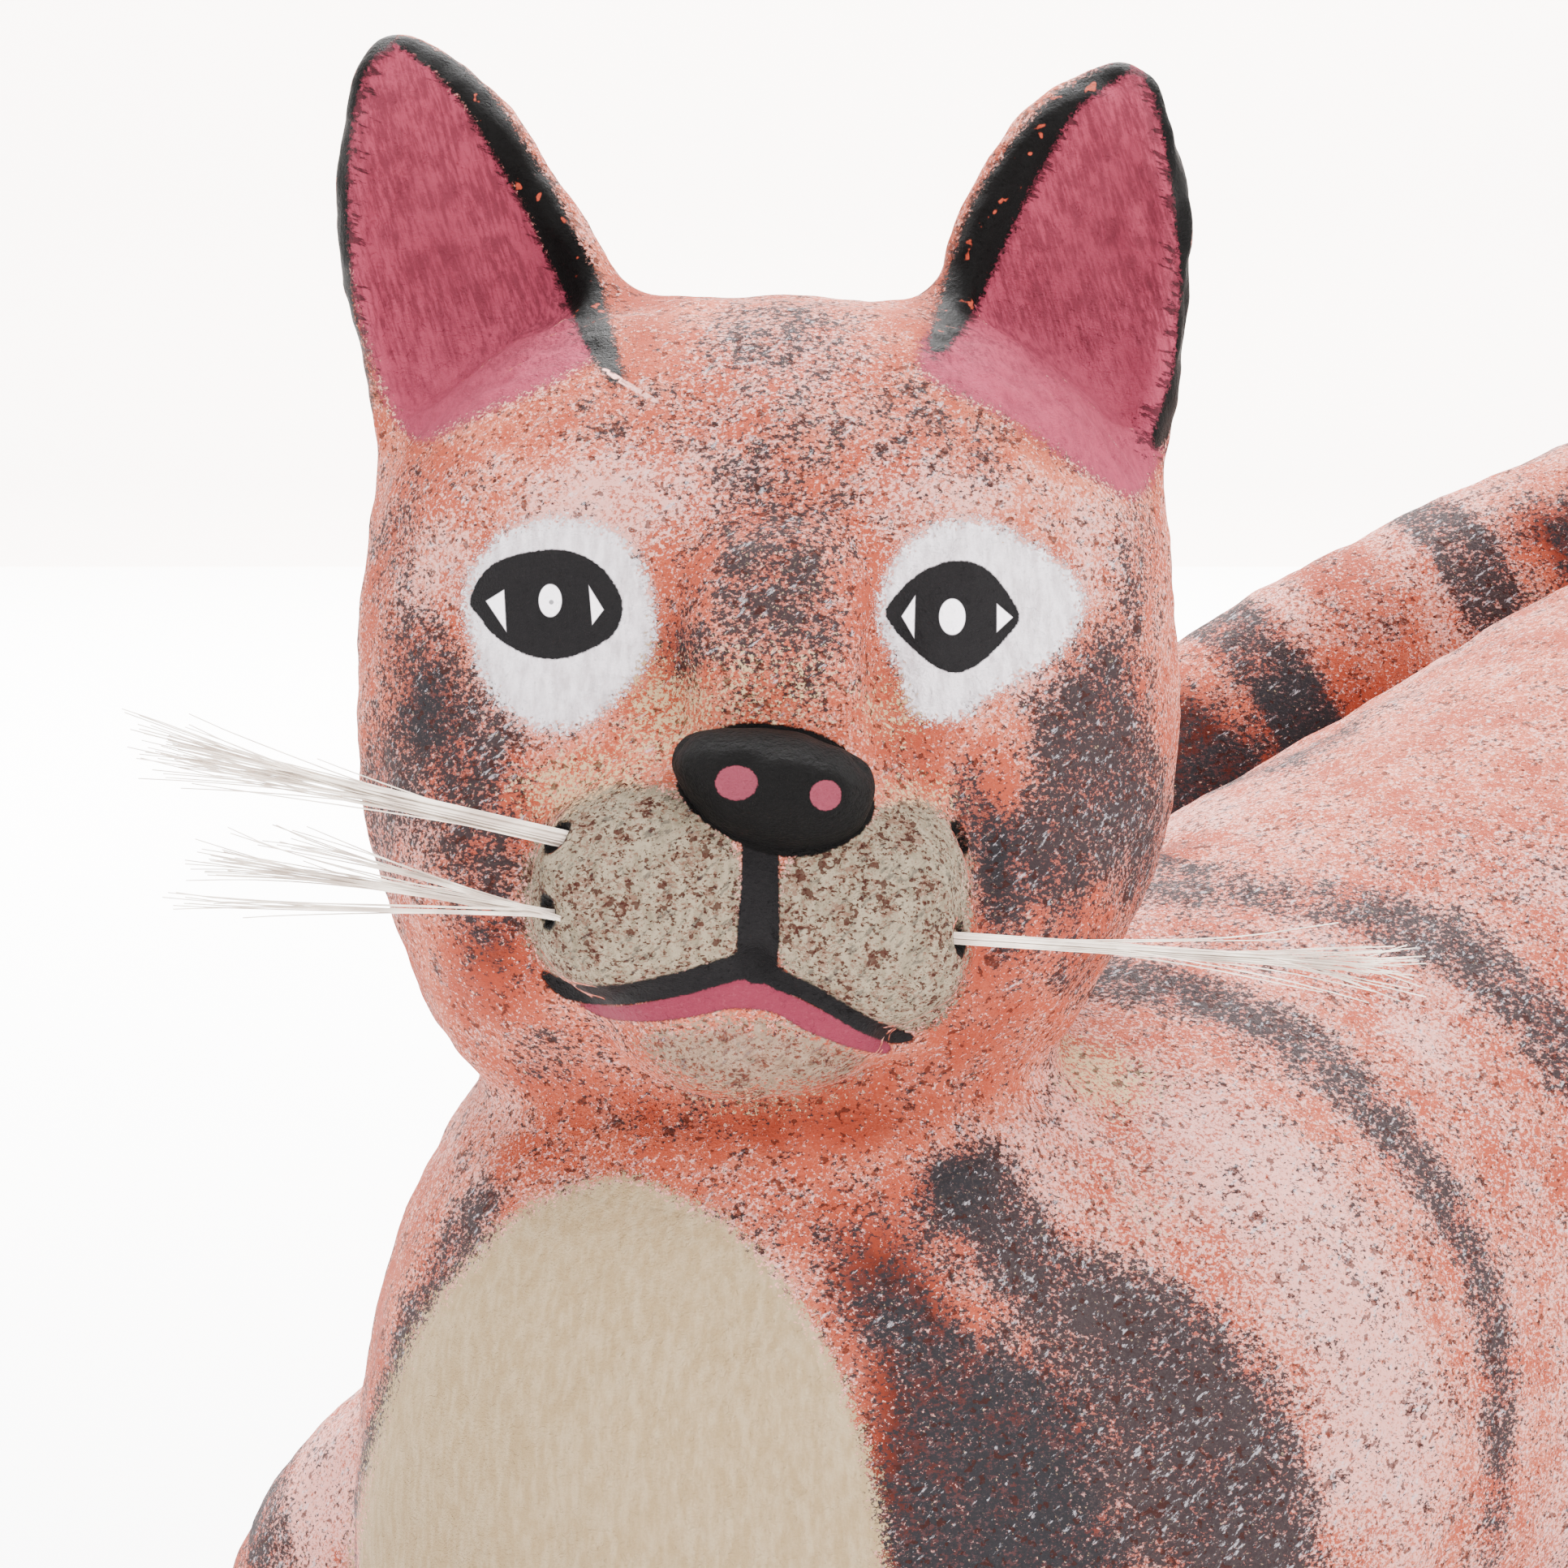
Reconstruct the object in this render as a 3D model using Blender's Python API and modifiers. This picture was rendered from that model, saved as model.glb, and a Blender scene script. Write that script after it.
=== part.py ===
"""Carved and painted wooden cat (alebrije), stretching with its chest low and its rump raised.

The figure stands on its four legs with the ground at z = 0.  It looks along -Y, its trunk runs
back and to +X, and its tail arches over behind the rump and comes down on its right side.
Blocks of wood are carved, dowelled and glued: torso, head, two ears, four legs and a tail that
plugs into the rump.  The whiskers are bundles of plant fibre glued into drilled holes.
"""

import math

import bpy
import numpy as np
from mathutils import Matrix, Vector

FIGURE = "alebrije_figure"
MM = 0.001

# ---- driving dimensions: metres where one number stands alone, millimetres in the station lists ----
GAP = 0.0003
HEAD_TILT = math.radians(5.0)
HEAD_HEIGHT = 0.140
CENTRE = (-0.0472, -0.0746)
CARVING_VOXEL = 0.0016
CARVING_SMOOTHING = 4
CARVING_TRIANGLES = 8600

# trunk and neck, (x, y, z, radius)
TRUNK = [
    (0, 40, 54, 40.5),
    (12, 47, 60, 43),
    (30, 60, 68.5, 45.5),
    (50, 87, 77, 49),
    (85, 116, 92.5, 50),
    (118, 138, 108.5, 50),
    (132, 147, 111, 44),
]
NECK = [
    (0, 40, 54, 41),
    (-1, 40, 72, 41),
    (-1.5, 39.5, 85, 37.5),
    (-1, 38.5, 97, 30.5),
    (-0.5, 38, 107, 26.5),
    (-1, 40, 122, 26),
]
# legs, each from inside the trunk to the paw
FRONT_LEFT = [
    (18, 42, 60, 29),
    (36, 48, 44, 24),
    (46, 50, 21, 20),
    (39, 16, 14, 14.5),
    (28, -17, 12, 13),
    (19, -44, 11.5, 13.5),
]
FRONT_RIGHT = [
    (-8, 58, 68, 26),
    (-25, 72, 57, 22.5),
    (-38, 83, 43, 21.5),
    (-43, 78, 20, 18.5),
    (-52, 46, 14, 14.5),
    (-61, 16, 12, 13),
    (-68, -12, 11.5, 13.5),
]
HIND_LEFT = [
    (132, 116, 92, 32),
    (131, 107, 66, 22),
    (142, 112, 44, 15),
    (149, 117, 27, 12),
    (147, 116, 11.5, 12),
    (130, 104, 10.5, 12),
]
HIND_RIGHT = [
    (104, 160, 92, 32),
    (95, 160, 66, 22),
    (104, 166, 44, 15),
    (111, 171, 27, 12),
    (109, 170, 11.5, 12),
    (92, 158, 10.5, 12),
]
TOE_PAD = (12.5, 17, 11)
TAIL = [
    (136, 166, 131, 15),
    (144, 179.5, 142, 13.5),
    (150.5, 191, 152, 12.8),
    (142, 197.5, 161, 12.5),
    (121, 193, 161, 12.5),
    (97, 184, 152.5, 12.5),
    (76, 177.5, 143.5, 12.5),
    (53, 172, 131, 12.5),
    (31, 166.5, 111, 12.2),
    (13, 160, 84, 11.8),
    (2, 152, 52, 11.2),
    (-8, 142, 25, 10.6),
    (-22, 130, 11.8, 9.8),
    (-38, 121, 10.2, 8.2),
    (-50, 118, 10, 5.5),
]

# head, in the head's own frame: x to its left side, depth behind the face, height over its middle
SKULL_CENTRE = (-1.7, 42, 9.5)
SKULL_RADII = (40.3, 36.5, 38.3)
SKULL_POWER = 2.6
FACE_FORMS = {
    "cheeks": ((-2.5, 22, -8), (33, 17, 19), 2.3),
    "jaw": ((-3, 34, -14), (33, 24, 22), 2.2),
    "muzzle": ((-3, 9, -9), (19, 15, 15), 2.2),
    "right_lobe": ((-13.2, 4, -11), (10.5, 9.5, 10), 2.2),
    "left_lobe": ((8, 4, -12.5), (10.5, 9.5, 10.5), 2.2),
    "chin": ((-3.5, 8, -23.5), (12, 9.5, 6), 2.0),
    "bridge": ((-1, 12, 8), (10, 11.5, 19), 2.2),
    "nose": ((-0.7, -2.5, -0.6), (9.4, 5.5, 6), 2.4),
}
# ears, (x, height, half width), on a plane at EAR_DEPTH
RIGHT_EAR = [
    (-23.5, 27, 13),
    (-26.6, 38.3, 13.6),
    (-29.2, 46.1, 13),
    (-31.8, 52.4, 11.9),
    (-34.3, 60.3, 9.6),
    (-36.9, 67.2, 6.0),
    (-38.2, 70.6, 3.0),
]
LEFT_EAR = [
    (21.5, 27, 13),
    (25.6, 38.3, 13),
    (27.2, 46.1, 12.3),
    (28.3, 52.4, 11.6),
    (29.7, 58.4, 9.8),
    (31.2, 63, 7.0),
    (32.7, 66.3, 4.4),
    (33.4, 68.2, 2.5),
]
EAR_DEPTH = 38
EAR_FLATNESS = 0.56
EAR_RIM = 2.2
EAR_BOWL_FORWARD = 6.2
# seams between the glued blocks, (point on the seam, way across it, seam radius)
SEAMS = {
    "neck": ((-3, 37, 109.5), (-0.05, -0.34, 1), 50),
    "tail": ((144, 179.5, 142), (0.41, 0.70, 0.59), 19),
    "front_left": ((39, 16, 14), (-0.28, -0.95, -0.12), 20),
    "front_right": ((-52, 46, 14), (-0.27, -0.95, -0.12), 20),
    "hind_left": ((141.2, 111.6, 45.6), (0.40, 0.21, -0.90), 22),
    "hind_right": ((103.3, 165.5, 45.6), (0.40, 0.21, -0.90), 22),
}
EAR_SEAMS = {
    "right_ear": ((-30, 38, 44.4), (-0.30, 0, 0.954), 22),
    "left_ear": ((29, 38, 44.2), (0.24, 0, 0.97), 22),
}
# a point inside each block, by which it is told from the others
BLOCK_POINTS = {
    "torso": (60, 95, 82),
    "front_left_leg": (22, -34, 12),
    "front_right_leg": (-65, -4, 12),
    "hind_left_leg": (149, 117, 27),
    "hind_right_leg": (111, 171, 27),
    "tail": (53, 172, 131),
}
HEAD_POINTS = {
    "head": (-2, 42, 9),
    "right_ear": (-32, 42, 54),
    "left_ear": (28, 42, 54),
}

# whiskers, in the head's frame: where each leaves the muzzle (x, height), its tip, and the
# half widths of its shaft and its tuft
WHISKERS = {
    "whisker_right_upper": ((-21.2, -5.2), (-60.5, 2, 4.2), 0.85, 2.1),
    "whisker_right_lower_front": ((-22.4, -11.9), (-56.5, 2, -10.9), 0.40, 0.8),
    "whisker_right_lower_middle": ((-22.4, -10.4), (-56.3, 8, -6.2), 0.40, 1.6),
    "whisker_right_lower_back": ((-22.4, -11.1), (-49.5, 20, -4.2), 0.40, 1.1),
    "whisker_left_lower": ((16.9, -14.4), (59, 6, -17.2), 0.75, 1.9),
}
# drilled holes, in the head's frame: place on the muzzle (x, height), way in, radius
HOLES = {
    "right_upper": ((-21.2, -5.2), (1, 0.2, -0.2), 1.5),
    "right_lower": ((-22.4, -11.1), (1, 0.1, -0.1), 1.7),
    "left_upper": ((15.6, -5.2), (-0.8, 0.6, 0), 1.5),
    "left_lower": ((16.9, -14.4), (-1, 0.15, 0.05), 1.5),
}
HOLE_DEPTH = 0.0055
HOLE_MOUTH = 0.006
WHISKER_SINK = 0.0045
STRAND_RING = 0.00085

NECK_DOWEL_RADIUS = 0.006
NECK_DOWEL_LENGTH = 0.040
LEG_DOWEL_RADIUS = 0.004
LEG_DOWEL_LENGTH = 0.026
EAR_TENON_RADIUS = 0.0025
EAR_TENON_LENGTH = 0.009
EAR_TENON_BACK = 3.8
TAIL_TENON_RADIUS = 0.006
TAIL_TENON_LENGTH = 0.022
SOCKET_CLEARANCE = 0.0003
SOCKET_END = 0.0015


def clear_scene():
    """Removes whatever objects the scene starts with."""
    for old in list(bpy.data.objects):
        bpy.data.objects.remove(old, do_unlink=True)


def new_collection(name):
    """Makes a collection in the scene."""
    made = bpy.data.collections.new(name)
    bpy.context.scene.collection.children.link(made)
    return made


def material(name, colour, roughness):
    """Makes a painted or bare surface."""
    made = bpy.data.materials.new(name)
    made.use_nodes = True
    shader = made.node_tree.nodes["Principled BSDF"]
    shader.inputs["Base Color"].default_value = (*colour, 1.0)
    shader.inputs["Roughness"].default_value = roughness
    shader.inputs["Metallic"].default_value = 0.0
    return made


def place(x, y, z):
    """A point of the figure, given in millimetres."""
    return Vector((x * MM + CENTRE[0], y * MM + CENTRE[1], z * MM))


def head_place(x, depth, height):
    """A point of the head's frame, which leans back by HEAD_TILT."""
    y = (depth * math.cos(HEAD_TILT) + height * math.sin(HEAD_TILT)) * MM
    z = (height * math.cos(HEAD_TILT) - depth * math.sin(HEAD_TILT)) * MM
    return Vector((x * MM + CENTRE[0], y + CENTRE[1], z + HEAD_HEIGHT))


def head_direction(x, depth, height):
    """A direction of the head's frame."""
    return (head_place(x, depth, height) - head_place(0, 0, 0)).normalized()


def add_object(name, mesh, collection):
    """Puts a mesh in the scene."""
    made = bpy.data.objects.new(name, mesh)
    collection.objects.link(made)
    return made


def mesh_of(source):
    """The mesh of an object as its modifiers leave it, in world space."""
    bpy.context.view_layer.update()
    depsgraph = bpy.context.evaluated_depsgraph_get()
    mesh = bpy.data.meshes.new_from_object(source.evaluated_get(depsgraph))
    mesh.transform(source.matrix_world)
    return mesh


def settle(source):
    """Replaces an object's modifiers and placement by the mesh that they give."""
    mesh = mesh_of(source)
    source.modifiers.clear()
    source.data = mesh
    source.matrix_world = Matrix.Identity(4)
    return source


def ball(name, centre, radii, power=2.0, tilt=0.0, turn=0.0):
    """A rounded form: an ellipsoid at power 2, and squarer at a higher power."""
    bpy.ops.mesh.primitive_uv_sphere_add(segments=40, ring_count=24, radius=1.0)
    made = bpy.context.object
    made.name = name
    for vertex in made.data.vertices:
        x, y, z = vertex.co
        length = (abs(x) ** power + abs(y) ** power + abs(z) ** power) ** (1 / power)
        vertex.co = vertex.co / length
    sized = Matrix.Diagonal((*(radius * MM for radius in radii), 1.0))
    made.data.transform(Matrix.Rotation(turn, 4, "Z") @ Matrix.Rotation(-tilt, 4, "X") @ sized)
    made.location = centre
    return made


def smooth_stations(stations, steps):
    """Stations on a Catmull-Rom curve through the given ones."""
    rows = np.array([stations[0], *stations, stations[-1]], dtype=float)
    made = []
    for a, b, c, d in zip(rows, rows[1:], rows[2:], rows[3:]):
        for t in np.arange(steps) / steps:
            bend = 2 * b + (c - a) * t + (2 * a - 5 * b + 4 * c - d) * t**2
            made.append((bend + (3 * b - a - 3 * c + d) * t**3) / 2)
    made.append(rows[-1])
    return made


def tube(name, stations, collection, sides=14, steps=6):
    """A round limb of changing radius through stations (point, radius)."""
    rows = [(*point, radius) for point, radius in stations]
    rows = smooth_stations(rows, steps)
    curve = bpy.data.curves.new(name, "CURVE")
    curve.dimensions = "3D"
    curve.bevel_depth = 1.0
    curve.bevel_resolution = sides
    curve.use_fill_caps = True
    spline = curve.splines.new("POLY")
    spline.points.add(len(rows) - 1)
    for point, row in zip(spline.points, rows):
        point.co = (row[0], row[1], row[2], 1.0)
        point.radius = row[3]
    source = add_object(name + "_path", curve, collection)
    made = add_object(name, mesh_of(source), collection)
    bpy.data.objects.remove(source, do_unlink=True)
    weld(made, 1e-6)
    return made


def weld(made, distance):
    """Joins the caps of a converted curve to its sides."""
    merge = made.modifiers.new("weld", "WELD")
    merge.merge_threshold = distance
    settle(made)


def limb(name, stations, collection):
    """A limb of the figure with round ends, from stations in millimetres."""
    rows = [(place(*row[:3]), row[3] * MM) for row in stations]
    shaft = tube(name, rows, collection)
    start = ball(name + "_start", rows[0][0], (stations[0][3],) * 3)
    end = ball(name + "_end", rows[-1][0], (stations[-1][3],) * 3)
    return [shaft, start, end]


def ear(name, stations, collection, depth, rim=0.0):
    """A leaf-shaped ear, or with a rim the smaller leaf that hollows it."""
    rows = [(Vector((x * MM, 0, z * MM)), (half - rim) * MM) for x, z, half in stations]
    made = tube(name, rows, collection)
    tip = ball(name + "_tip", rows[-1][0], (rows[-1][1] / MM,) * 3)
    settle(tip)
    flat = Matrix.Diagonal((1.0, EAR_FLATNESS, 1.0, 1.0))
    tilted = Matrix.Rotation(-HEAD_TILT, 4, "X")
    for piece in (made, tip):
        piece.data.transform(Matrix.Translation(head_place(0, depth, 0)) @ tilted @ flat)
    return [made, tip]


def join(name, pieces, collection):
    """One mesh object out of several, still as separate shells."""
    mesh = bpy.data.meshes.new(name)
    corners = []
    faces = []
    for piece in pieces:
        shell = mesh_of(piece)
        faces.extend([index + len(corners) for index in face.vertices] for face in shell.polygons)
        corners.extend(vertex.co.copy() for vertex in shell.vertices)
        bpy.data.objects.remove(piece, do_unlink=True)
    mesh.from_pydata(corners, [], faces)
    return add_object(name, mesh, collection)


def carve(shape, cutter, operation="DIFFERENCE"):
    """Cuts a shape with a cutter, or keeps what they share."""
    cut = shape.modifiers.new(cutter.name, "BOOLEAN")
    cut.operation = operation
    cut.solver = "EXACT"
    cut.object = cutter
    settle(shape)


def fuse(shape, voxel, smoothing):
    """Runs separate shells into one skin and rounds the creases between them."""
    skin = shape.modifiers.new("skin", "REMESH")
    skin.mode = "VOXEL"
    skin.voxel_size = voxel
    settle(shape)
    soften = shape.modifiers.new("soften", "SMOOTH")
    soften.factor = 0.5
    soften.iterations = smoothing
    settle(shape)


def thin_out(shape, triangles):
    """Brings a skin down to a number of triangles."""
    count = sum(len(face.vertices) - 2 for face in shape.data.polygons)
    fewer = shape.modifiers.new("thin_out", "DECIMATE")
    fewer.ratio = min(1.0, triangles / count)
    fewer.use_collapse_triangulate = True
    settle(shape)


def rod(name, start, end, radius, collection, sides=24):
    """A straight round rod between two points."""
    bpy.ops.mesh.primitive_cylinder_add(
        vertices=sides, radius=radius, depth=(end - start).length
    )
    made = bpy.context.object
    made.name = name
    along = (end - start).normalized().to_track_quat("Z", "Y").to_matrix().to_4x4()
    made.matrix_world = Matrix.Translation((start + end) / 2) @ along
    move_to(made, collection)
    return settle(made)


def move_to(made, collection):
    """Keeps an object in one collection only."""
    for owner in list(made.users_collection):
        owner.objects.unlink(made)
    collection.objects.link(made)


def seam_disc(name, centre, across, radius, collection):
    """A thin disc that takes the seam's gap out of the carving."""
    half = across.normalized() * GAP / 2
    return rod(name, centre - half, centre + half, radius, collection, sides=48)


def shells(shape):
    """The separate closed skins of a mesh, each as a set of face numbers."""
    mesh = shape.data
    faces_at = [[] for _ in mesh.vertices]
    for face in mesh.polygons:
        for corner in face.vertices:
            faces_at[corner].append(face.index)
    left = set(range(len(mesh.polygons)))
    found = []
    while left:
        start = left.pop()
        shell = {start}
        front = [start]
        while front:
            for corner in mesh.polygons[front.pop()].vertices:
                for face in faces_at[corner]:
                    if face in left:
                        left.remove(face)
                        shell.add(face)
                        front.append(face)
        found.append(shell)
    return found


def take_blocks(carving, points, collection):
    """Turns the skins of a sawn carving into one object per block, found by a point near each."""
    mesh = carving.data
    corners = np.array([vertex.co for vertex in mesh.vertices])
    skins = []
    for shell in shells(carving):
        faces = [list(mesh.polygons[index].vertices) for index in sorted(shell)]
        used = sorted({corner for face in faces for corner in face})
        skins.append((faces, used))
    made = {}
    for name, point in points.items():
        away = [np.linalg.norm(corners[used] - np.array(point), axis=1).min() for _, used in skins]
        faces, used = skins[int(np.argmin(away))]
        number = {corner: rank for rank, corner in enumerate(used)}
        block = bpy.data.meshes.new(name)
        block.from_pydata(
            [corners[corner] for corner in used],
            [],
            [[number[corner] for corner in face] for face in faces],
        )
        made[name] = add_object(name, block, collection)
    bpy.data.objects.remove(carving, do_unlink=True)
    return made


def on_muzzle(head, x, height):
    """The point of the head's skin that faces forward at a place in the head's frame."""
    start = head_place(x, -40, height)
    way = head_direction(0, 1, 0)
    hit, point, _, _ = head.ray_cast(start, way)
    if not hit:
        raise ValueError("no skin there")
    return point


def add_dowel(name, seam, radius, length, blocks, figure, cutters):
    """A glued dowel across a seam, with a hole for it in the block on each side."""
    centre = place(*seam[0])
    across = Vector(seam[1]).normalized()
    reach = across * length / 2
    end = across * SOCKET_END
    hole = rod(
        name + "_hole", centre - reach - end, centre + reach + end, radius + SOCKET_CLEARANCE, cutters
    )
    for block in blocks:
        carve(block, hole)
    return rod(name, centre - reach, centre + reach, radius, figure)


def add_tenon(name, centre, across, radius, length, block, mate, cutters):
    """A round tenon on a block, and its socket in the block it plugs into."""
    across = across.normalized()
    tenon = rod(name + "_tenon", centre - across * length, centre + across * 0.005, radius, cutters)
    carve(block, tenon, "UNION")
    bottom = centre - across * (length + SOCKET_END)
    socket = rod(
        name + "_socket", bottom, centre + across * 0.002, radius + SOCKET_CLEARANCE, cutters
    )
    carve(mate, socket)


def finish(piece, look):
    """Gives a piece its own material and smooth shading."""
    piece.data.materials.clear()
    piece.data.materials.append(look)
    piece.data.shade_smooth()
    piece.data.set_sharp_from_angle(angle=math.radians(40))


def whisker(name, head, collection):
    """A stiff fibre bundle that opens into a tuft over its outer half."""
    (x, height), tip, shaft, tuft = WHISKERS[name]
    side, strand = name.split("_")[1], name.rpartition("_")[2]
    hole = side + ("_upper" if strand == "upper" else "_lower")
    (hole_x, hole_height), way, _ = HOLES[hole]
    start = on_muzzle(head, hole_x, hole_height) + (
        head_place(x, 0, height) - head_place(hole_x, 0, hole_height)
    )
    inward = head_direction(*way)
    if strand in ("front", "middle", "back"):
        start = on_muzzle(head, hole_x, hole_height) + strand_offset(strand, inward)
    end = head_place(*tip)
    rows = [
        (start + inward * WHISKER_SINK, shaft * MM),
        (start - inward * 0.002, shaft * MM),
        ((start - inward * 0.002).lerp(end, 0.25), shaft * MM),
        (start.lerp(end, 0.5), shaft * MM * 1.15),
        (start.lerp(end, 0.8), tuft * MM),
        (end, tuft * MM * 0.7),
    ]
    return tube(name, rows, collection, sides=1, steps=2)


def strand_offset(strand, inward):
    """Where a strand of the three in one hole lies, out from the hole's axis."""
    angle = {"front": -90.0, "middle": 30.0, "back": 150.0}[strand]
    up = head_direction(0, 0, 1)
    side = inward.cross(up).normalized()
    up = side.cross(inward)
    turn = math.radians(angle)
    return (side * math.cos(turn) + up * math.sin(turn)) * STRAND_RING


def build():
    """Models the figure."""
    clear_scene()
    figure = new_collection(FIGURE)
    cutters = new_collection(FIGURE + "_cutters")

    forms = []
    for name, stations in (("trunk", TRUNK), ("neck", NECK), ("tail_form", TAIL)):
        forms += limb(name, stations, cutters)
    legs = {
        "front_left": FRONT_LEFT,
        "front_right": FRONT_RIGHT,
        "hind_left": HIND_LEFT,
        "hind_right": HIND_RIGHT,
    }
    for name, stations in legs.items():
        forms += limb(name, stations, cutters)
        ankle = Vector(stations[-2][:3])
        toe = Vector(stations[-1][:3])
        turn = math.atan2(toe.y - ankle.y, toe.x - ankle.x) + math.pi / 2
        forms.append(ball(name + "_toes", place(*toe), TOE_PAD, power=2.3, turn=turn))
    forms.append(ball("skull", head_place(*SKULL_CENTRE), SKULL_RADII, SKULL_POWER, HEAD_TILT))
    for name, (centre, radii, power) in FACE_FORMS.items():
        forms.append(ball(name, head_place(*centre), radii, power, HEAD_TILT))
    forms += ear("right_leaf", RIGHT_EAR, cutters, EAR_DEPTH)
    forms += ear("left_leaf", LEFT_EAR, cutters, EAR_DEPTH)

    carving = join("carving", forms, figure)
    fuse(carving, CARVING_VOXEL, CARVING_SMOOTHING)
    bowls = ear("right_bowl", RIGHT_EAR[1:], cutters, EAR_DEPTH - EAR_BOWL_FORWARD, EAR_RIM)
    bowls += ear("left_bowl", LEFT_EAR[1:], cutters, EAR_DEPTH - EAR_BOWL_FORWARD, EAR_RIM)
    bowl = join("bowls", bowls, cutters)
    fuse(bowl, CARVING_VOXEL, 1)
    carve(carving, bowl)
    fuse(carving, CARVING_VOXEL, 2)
    thin_out(carving, CARVING_TRIANGLES)

    # the soles and the undersides of the forearms are planed flat
    bpy.ops.mesh.primitive_cube_add(size=0.8, location=(0, 0, -0.4))
    ground = bpy.context.object
    ground.name = "ground"
    move_to(ground, cutters)
    settle(ground)
    carve(carving, ground)

    for name, (centre, across, radius) in SEAMS.items():
        disc = seam_disc(name + "_seam", place(*centre), Vector(across), radius * MM, cutters)
        carve(carving, disc)
    for name, (centre, across, radius) in EAR_SEAMS.items():
        centre = head_place(*centre)
        disc = seam_disc(name + "_seam", centre, head_direction(*across), radius * MM, cutters)
        carve(carving, disc)

    points = {name: place(*point) for name, point in BLOCK_POINTS.items()}
    points |= {name: head_place(*point) for name, point in HEAD_POINTS.items()}
    blocks = take_blocks(carving, points, figure)
    torso = blocks["torso"]
    head = blocks["head"]

    roots = {name: on_muzzle(head, *spot) for name, (spot, _, _) in HOLES.items()}
    whiskers = [whisker(name, head, figure) for name in WHISKERS]
    for name, (_, way, radius) in HOLES.items():
        inward = head_direction(*way)
        inner = roots[name] + inward * HOLE_DEPTH
        outer = roots[name] - inward * HOLE_MOUTH
        carve(head, rod(name + "_hole", inner, outer, radius * MM, cutters, sides=16))

    dowels = [
        add_dowel(
            "neck_dowel",
            SEAMS["neck"],
            NECK_DOWEL_RADIUS,
            NECK_DOWEL_LENGTH,
            (torso, head),
            figure,
            cutters,
        )
    ]
    for name in legs:
        dowels.append(
            add_dowel(
                name + "_dowel",
                SEAMS[name],
                LEG_DOWEL_RADIUS,
                LEG_DOWEL_LENGTH,
                (torso, blocks[name + "_leg"]),
                figure,
                cutters,
            )
        )
    for name, (centre, across, _) in EAR_SEAMS.items():
        foot = head_place(centre[0], centre[1] + EAR_TENON_BACK, centre[2])
        way = head_direction(*across)
        add_tenon(name, foot, way, EAR_TENON_RADIUS, EAR_TENON_LENGTH, blocks[name], head, cutters)
    centre, across, _ = SEAMS["tail"]
    add_tenon(
        "tail",
        place(*centre),
        Vector(across),
        TAIL_TENON_RADIUS,
        TAIL_TENON_LENGTH,
        blocks["tail"],
        torso,
        cutters,
    )

    painted = material("painted_wood", (0.72, 0.32, 0.22), 0.8)
    rose = material("rose_painted_wood", (0.68, 0.22, 0.30), 0.8)
    bare = material("bare_wood", (0.72, 0.56, 0.38), 0.85)
    fibre = material("plant_fibre", (0.82, 0.78, 0.74), 0.6)
    for name, block in blocks.items():
        finish(block, rose if name.endswith("_ear") else painted)
    for dowel in dowels:
        finish(dowel, bare)
    for strand in whiskers:
        finish(strand, fibre)
    for cutter in cutters.objects:
        cutter.hide_render = True
        cutter.display_type = "WIRE"


build()
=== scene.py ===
"""Looks of the carved and painted wooden cat: fine carving, hand painting and fibre whiskers."""

import math

import bmesh
import bpy
import numpy as np
from mathutils import Matrix, Vector


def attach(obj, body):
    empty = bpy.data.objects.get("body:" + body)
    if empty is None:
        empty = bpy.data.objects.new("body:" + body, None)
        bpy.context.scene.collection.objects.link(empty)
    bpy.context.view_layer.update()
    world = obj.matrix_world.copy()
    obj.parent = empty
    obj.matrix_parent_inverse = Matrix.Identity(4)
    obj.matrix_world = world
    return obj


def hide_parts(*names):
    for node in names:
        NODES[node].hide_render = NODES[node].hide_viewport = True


# ---------------------------------------------------------------- sizes, millimetres unless said
MM = 0.001
# from figure millimetres, with the chest over the origin, to the row frame
CENTRE = np.array([-47.2, -74.6, 0.0])
HEAD_TILT = math.radians(5.0)
HEAD_HEIGHT = 140.0
# spacing and extent of the grids on which the skins are drawn
BODY_PITCH = 1.25
HEAD_PITCH = 0.62
BODY_BOX = ((-88, -64, -2.5), (182, 216, 178))
HEAD_BOX = ((-48, -14, 96), (48, 92, 217))
# how softly limbs, head and ears flow into what carries them
BLEND = 7.0
HEAD_BLEND = 3.5
EAR_BLEND = 5.5
# the tail grows out of the rump, and beyond this length it hangs clear of it
TAIL_PARTS_AT = (42, 56)
TAIL_CLEARANCE = 2.4
# a distance that stands for none, and how far off the head and a foot still count
FAR = 100.0
HEAD_REACH = 95
FOOT_REACH = 40
NOSE_LEAN = 0.11
NOSE_SHIFT = 0.06
NOSE_TAPER = 0.038
HEAD_MIDDLE = np.array([-2, 45, 155])
PAINTER_DISTANCE = 600.0

# limbs: x, y, z and radius of each station
TRUNK = [
    (0, 40, 54, 40.5), (12, 47, 60, 43), (30, 60, 68.5, 45.5), (50, 87, 77, 49),
    (85, 116, 92.5, 50), (118, 138, 108.5, 50), (132, 147, 111, 44),
]
NECK = [
    (0, 40, 54, 41), (-1, 40, 72, 41), (-1, 39.5, 85, 36.5), (0.8, 38.5, 97, 28.2),
    (2, 38, 107, 22), (1.5, 40, 122, 22),
]
FRONT_LEFT = [
    (18, 42, 60, 29), (36, 48, 44, 24), (46, 50, 21, 20), (39, 16, 14, 14.5), (28, -17, 12, 13),
    (19, -44, 11.5, 13.5),
]
FRONT_RIGHT = [
    (-8, 58, 68, 26), (-25, 72, 57, 22.5), (-38, 83, 43, 21.5), (-43, 78, 20, 18.5),
    (-52, 46, 14, 14.5), (-61, 16, 12, 13), (-68, -12, 11.5, 13.5),
]
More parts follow.
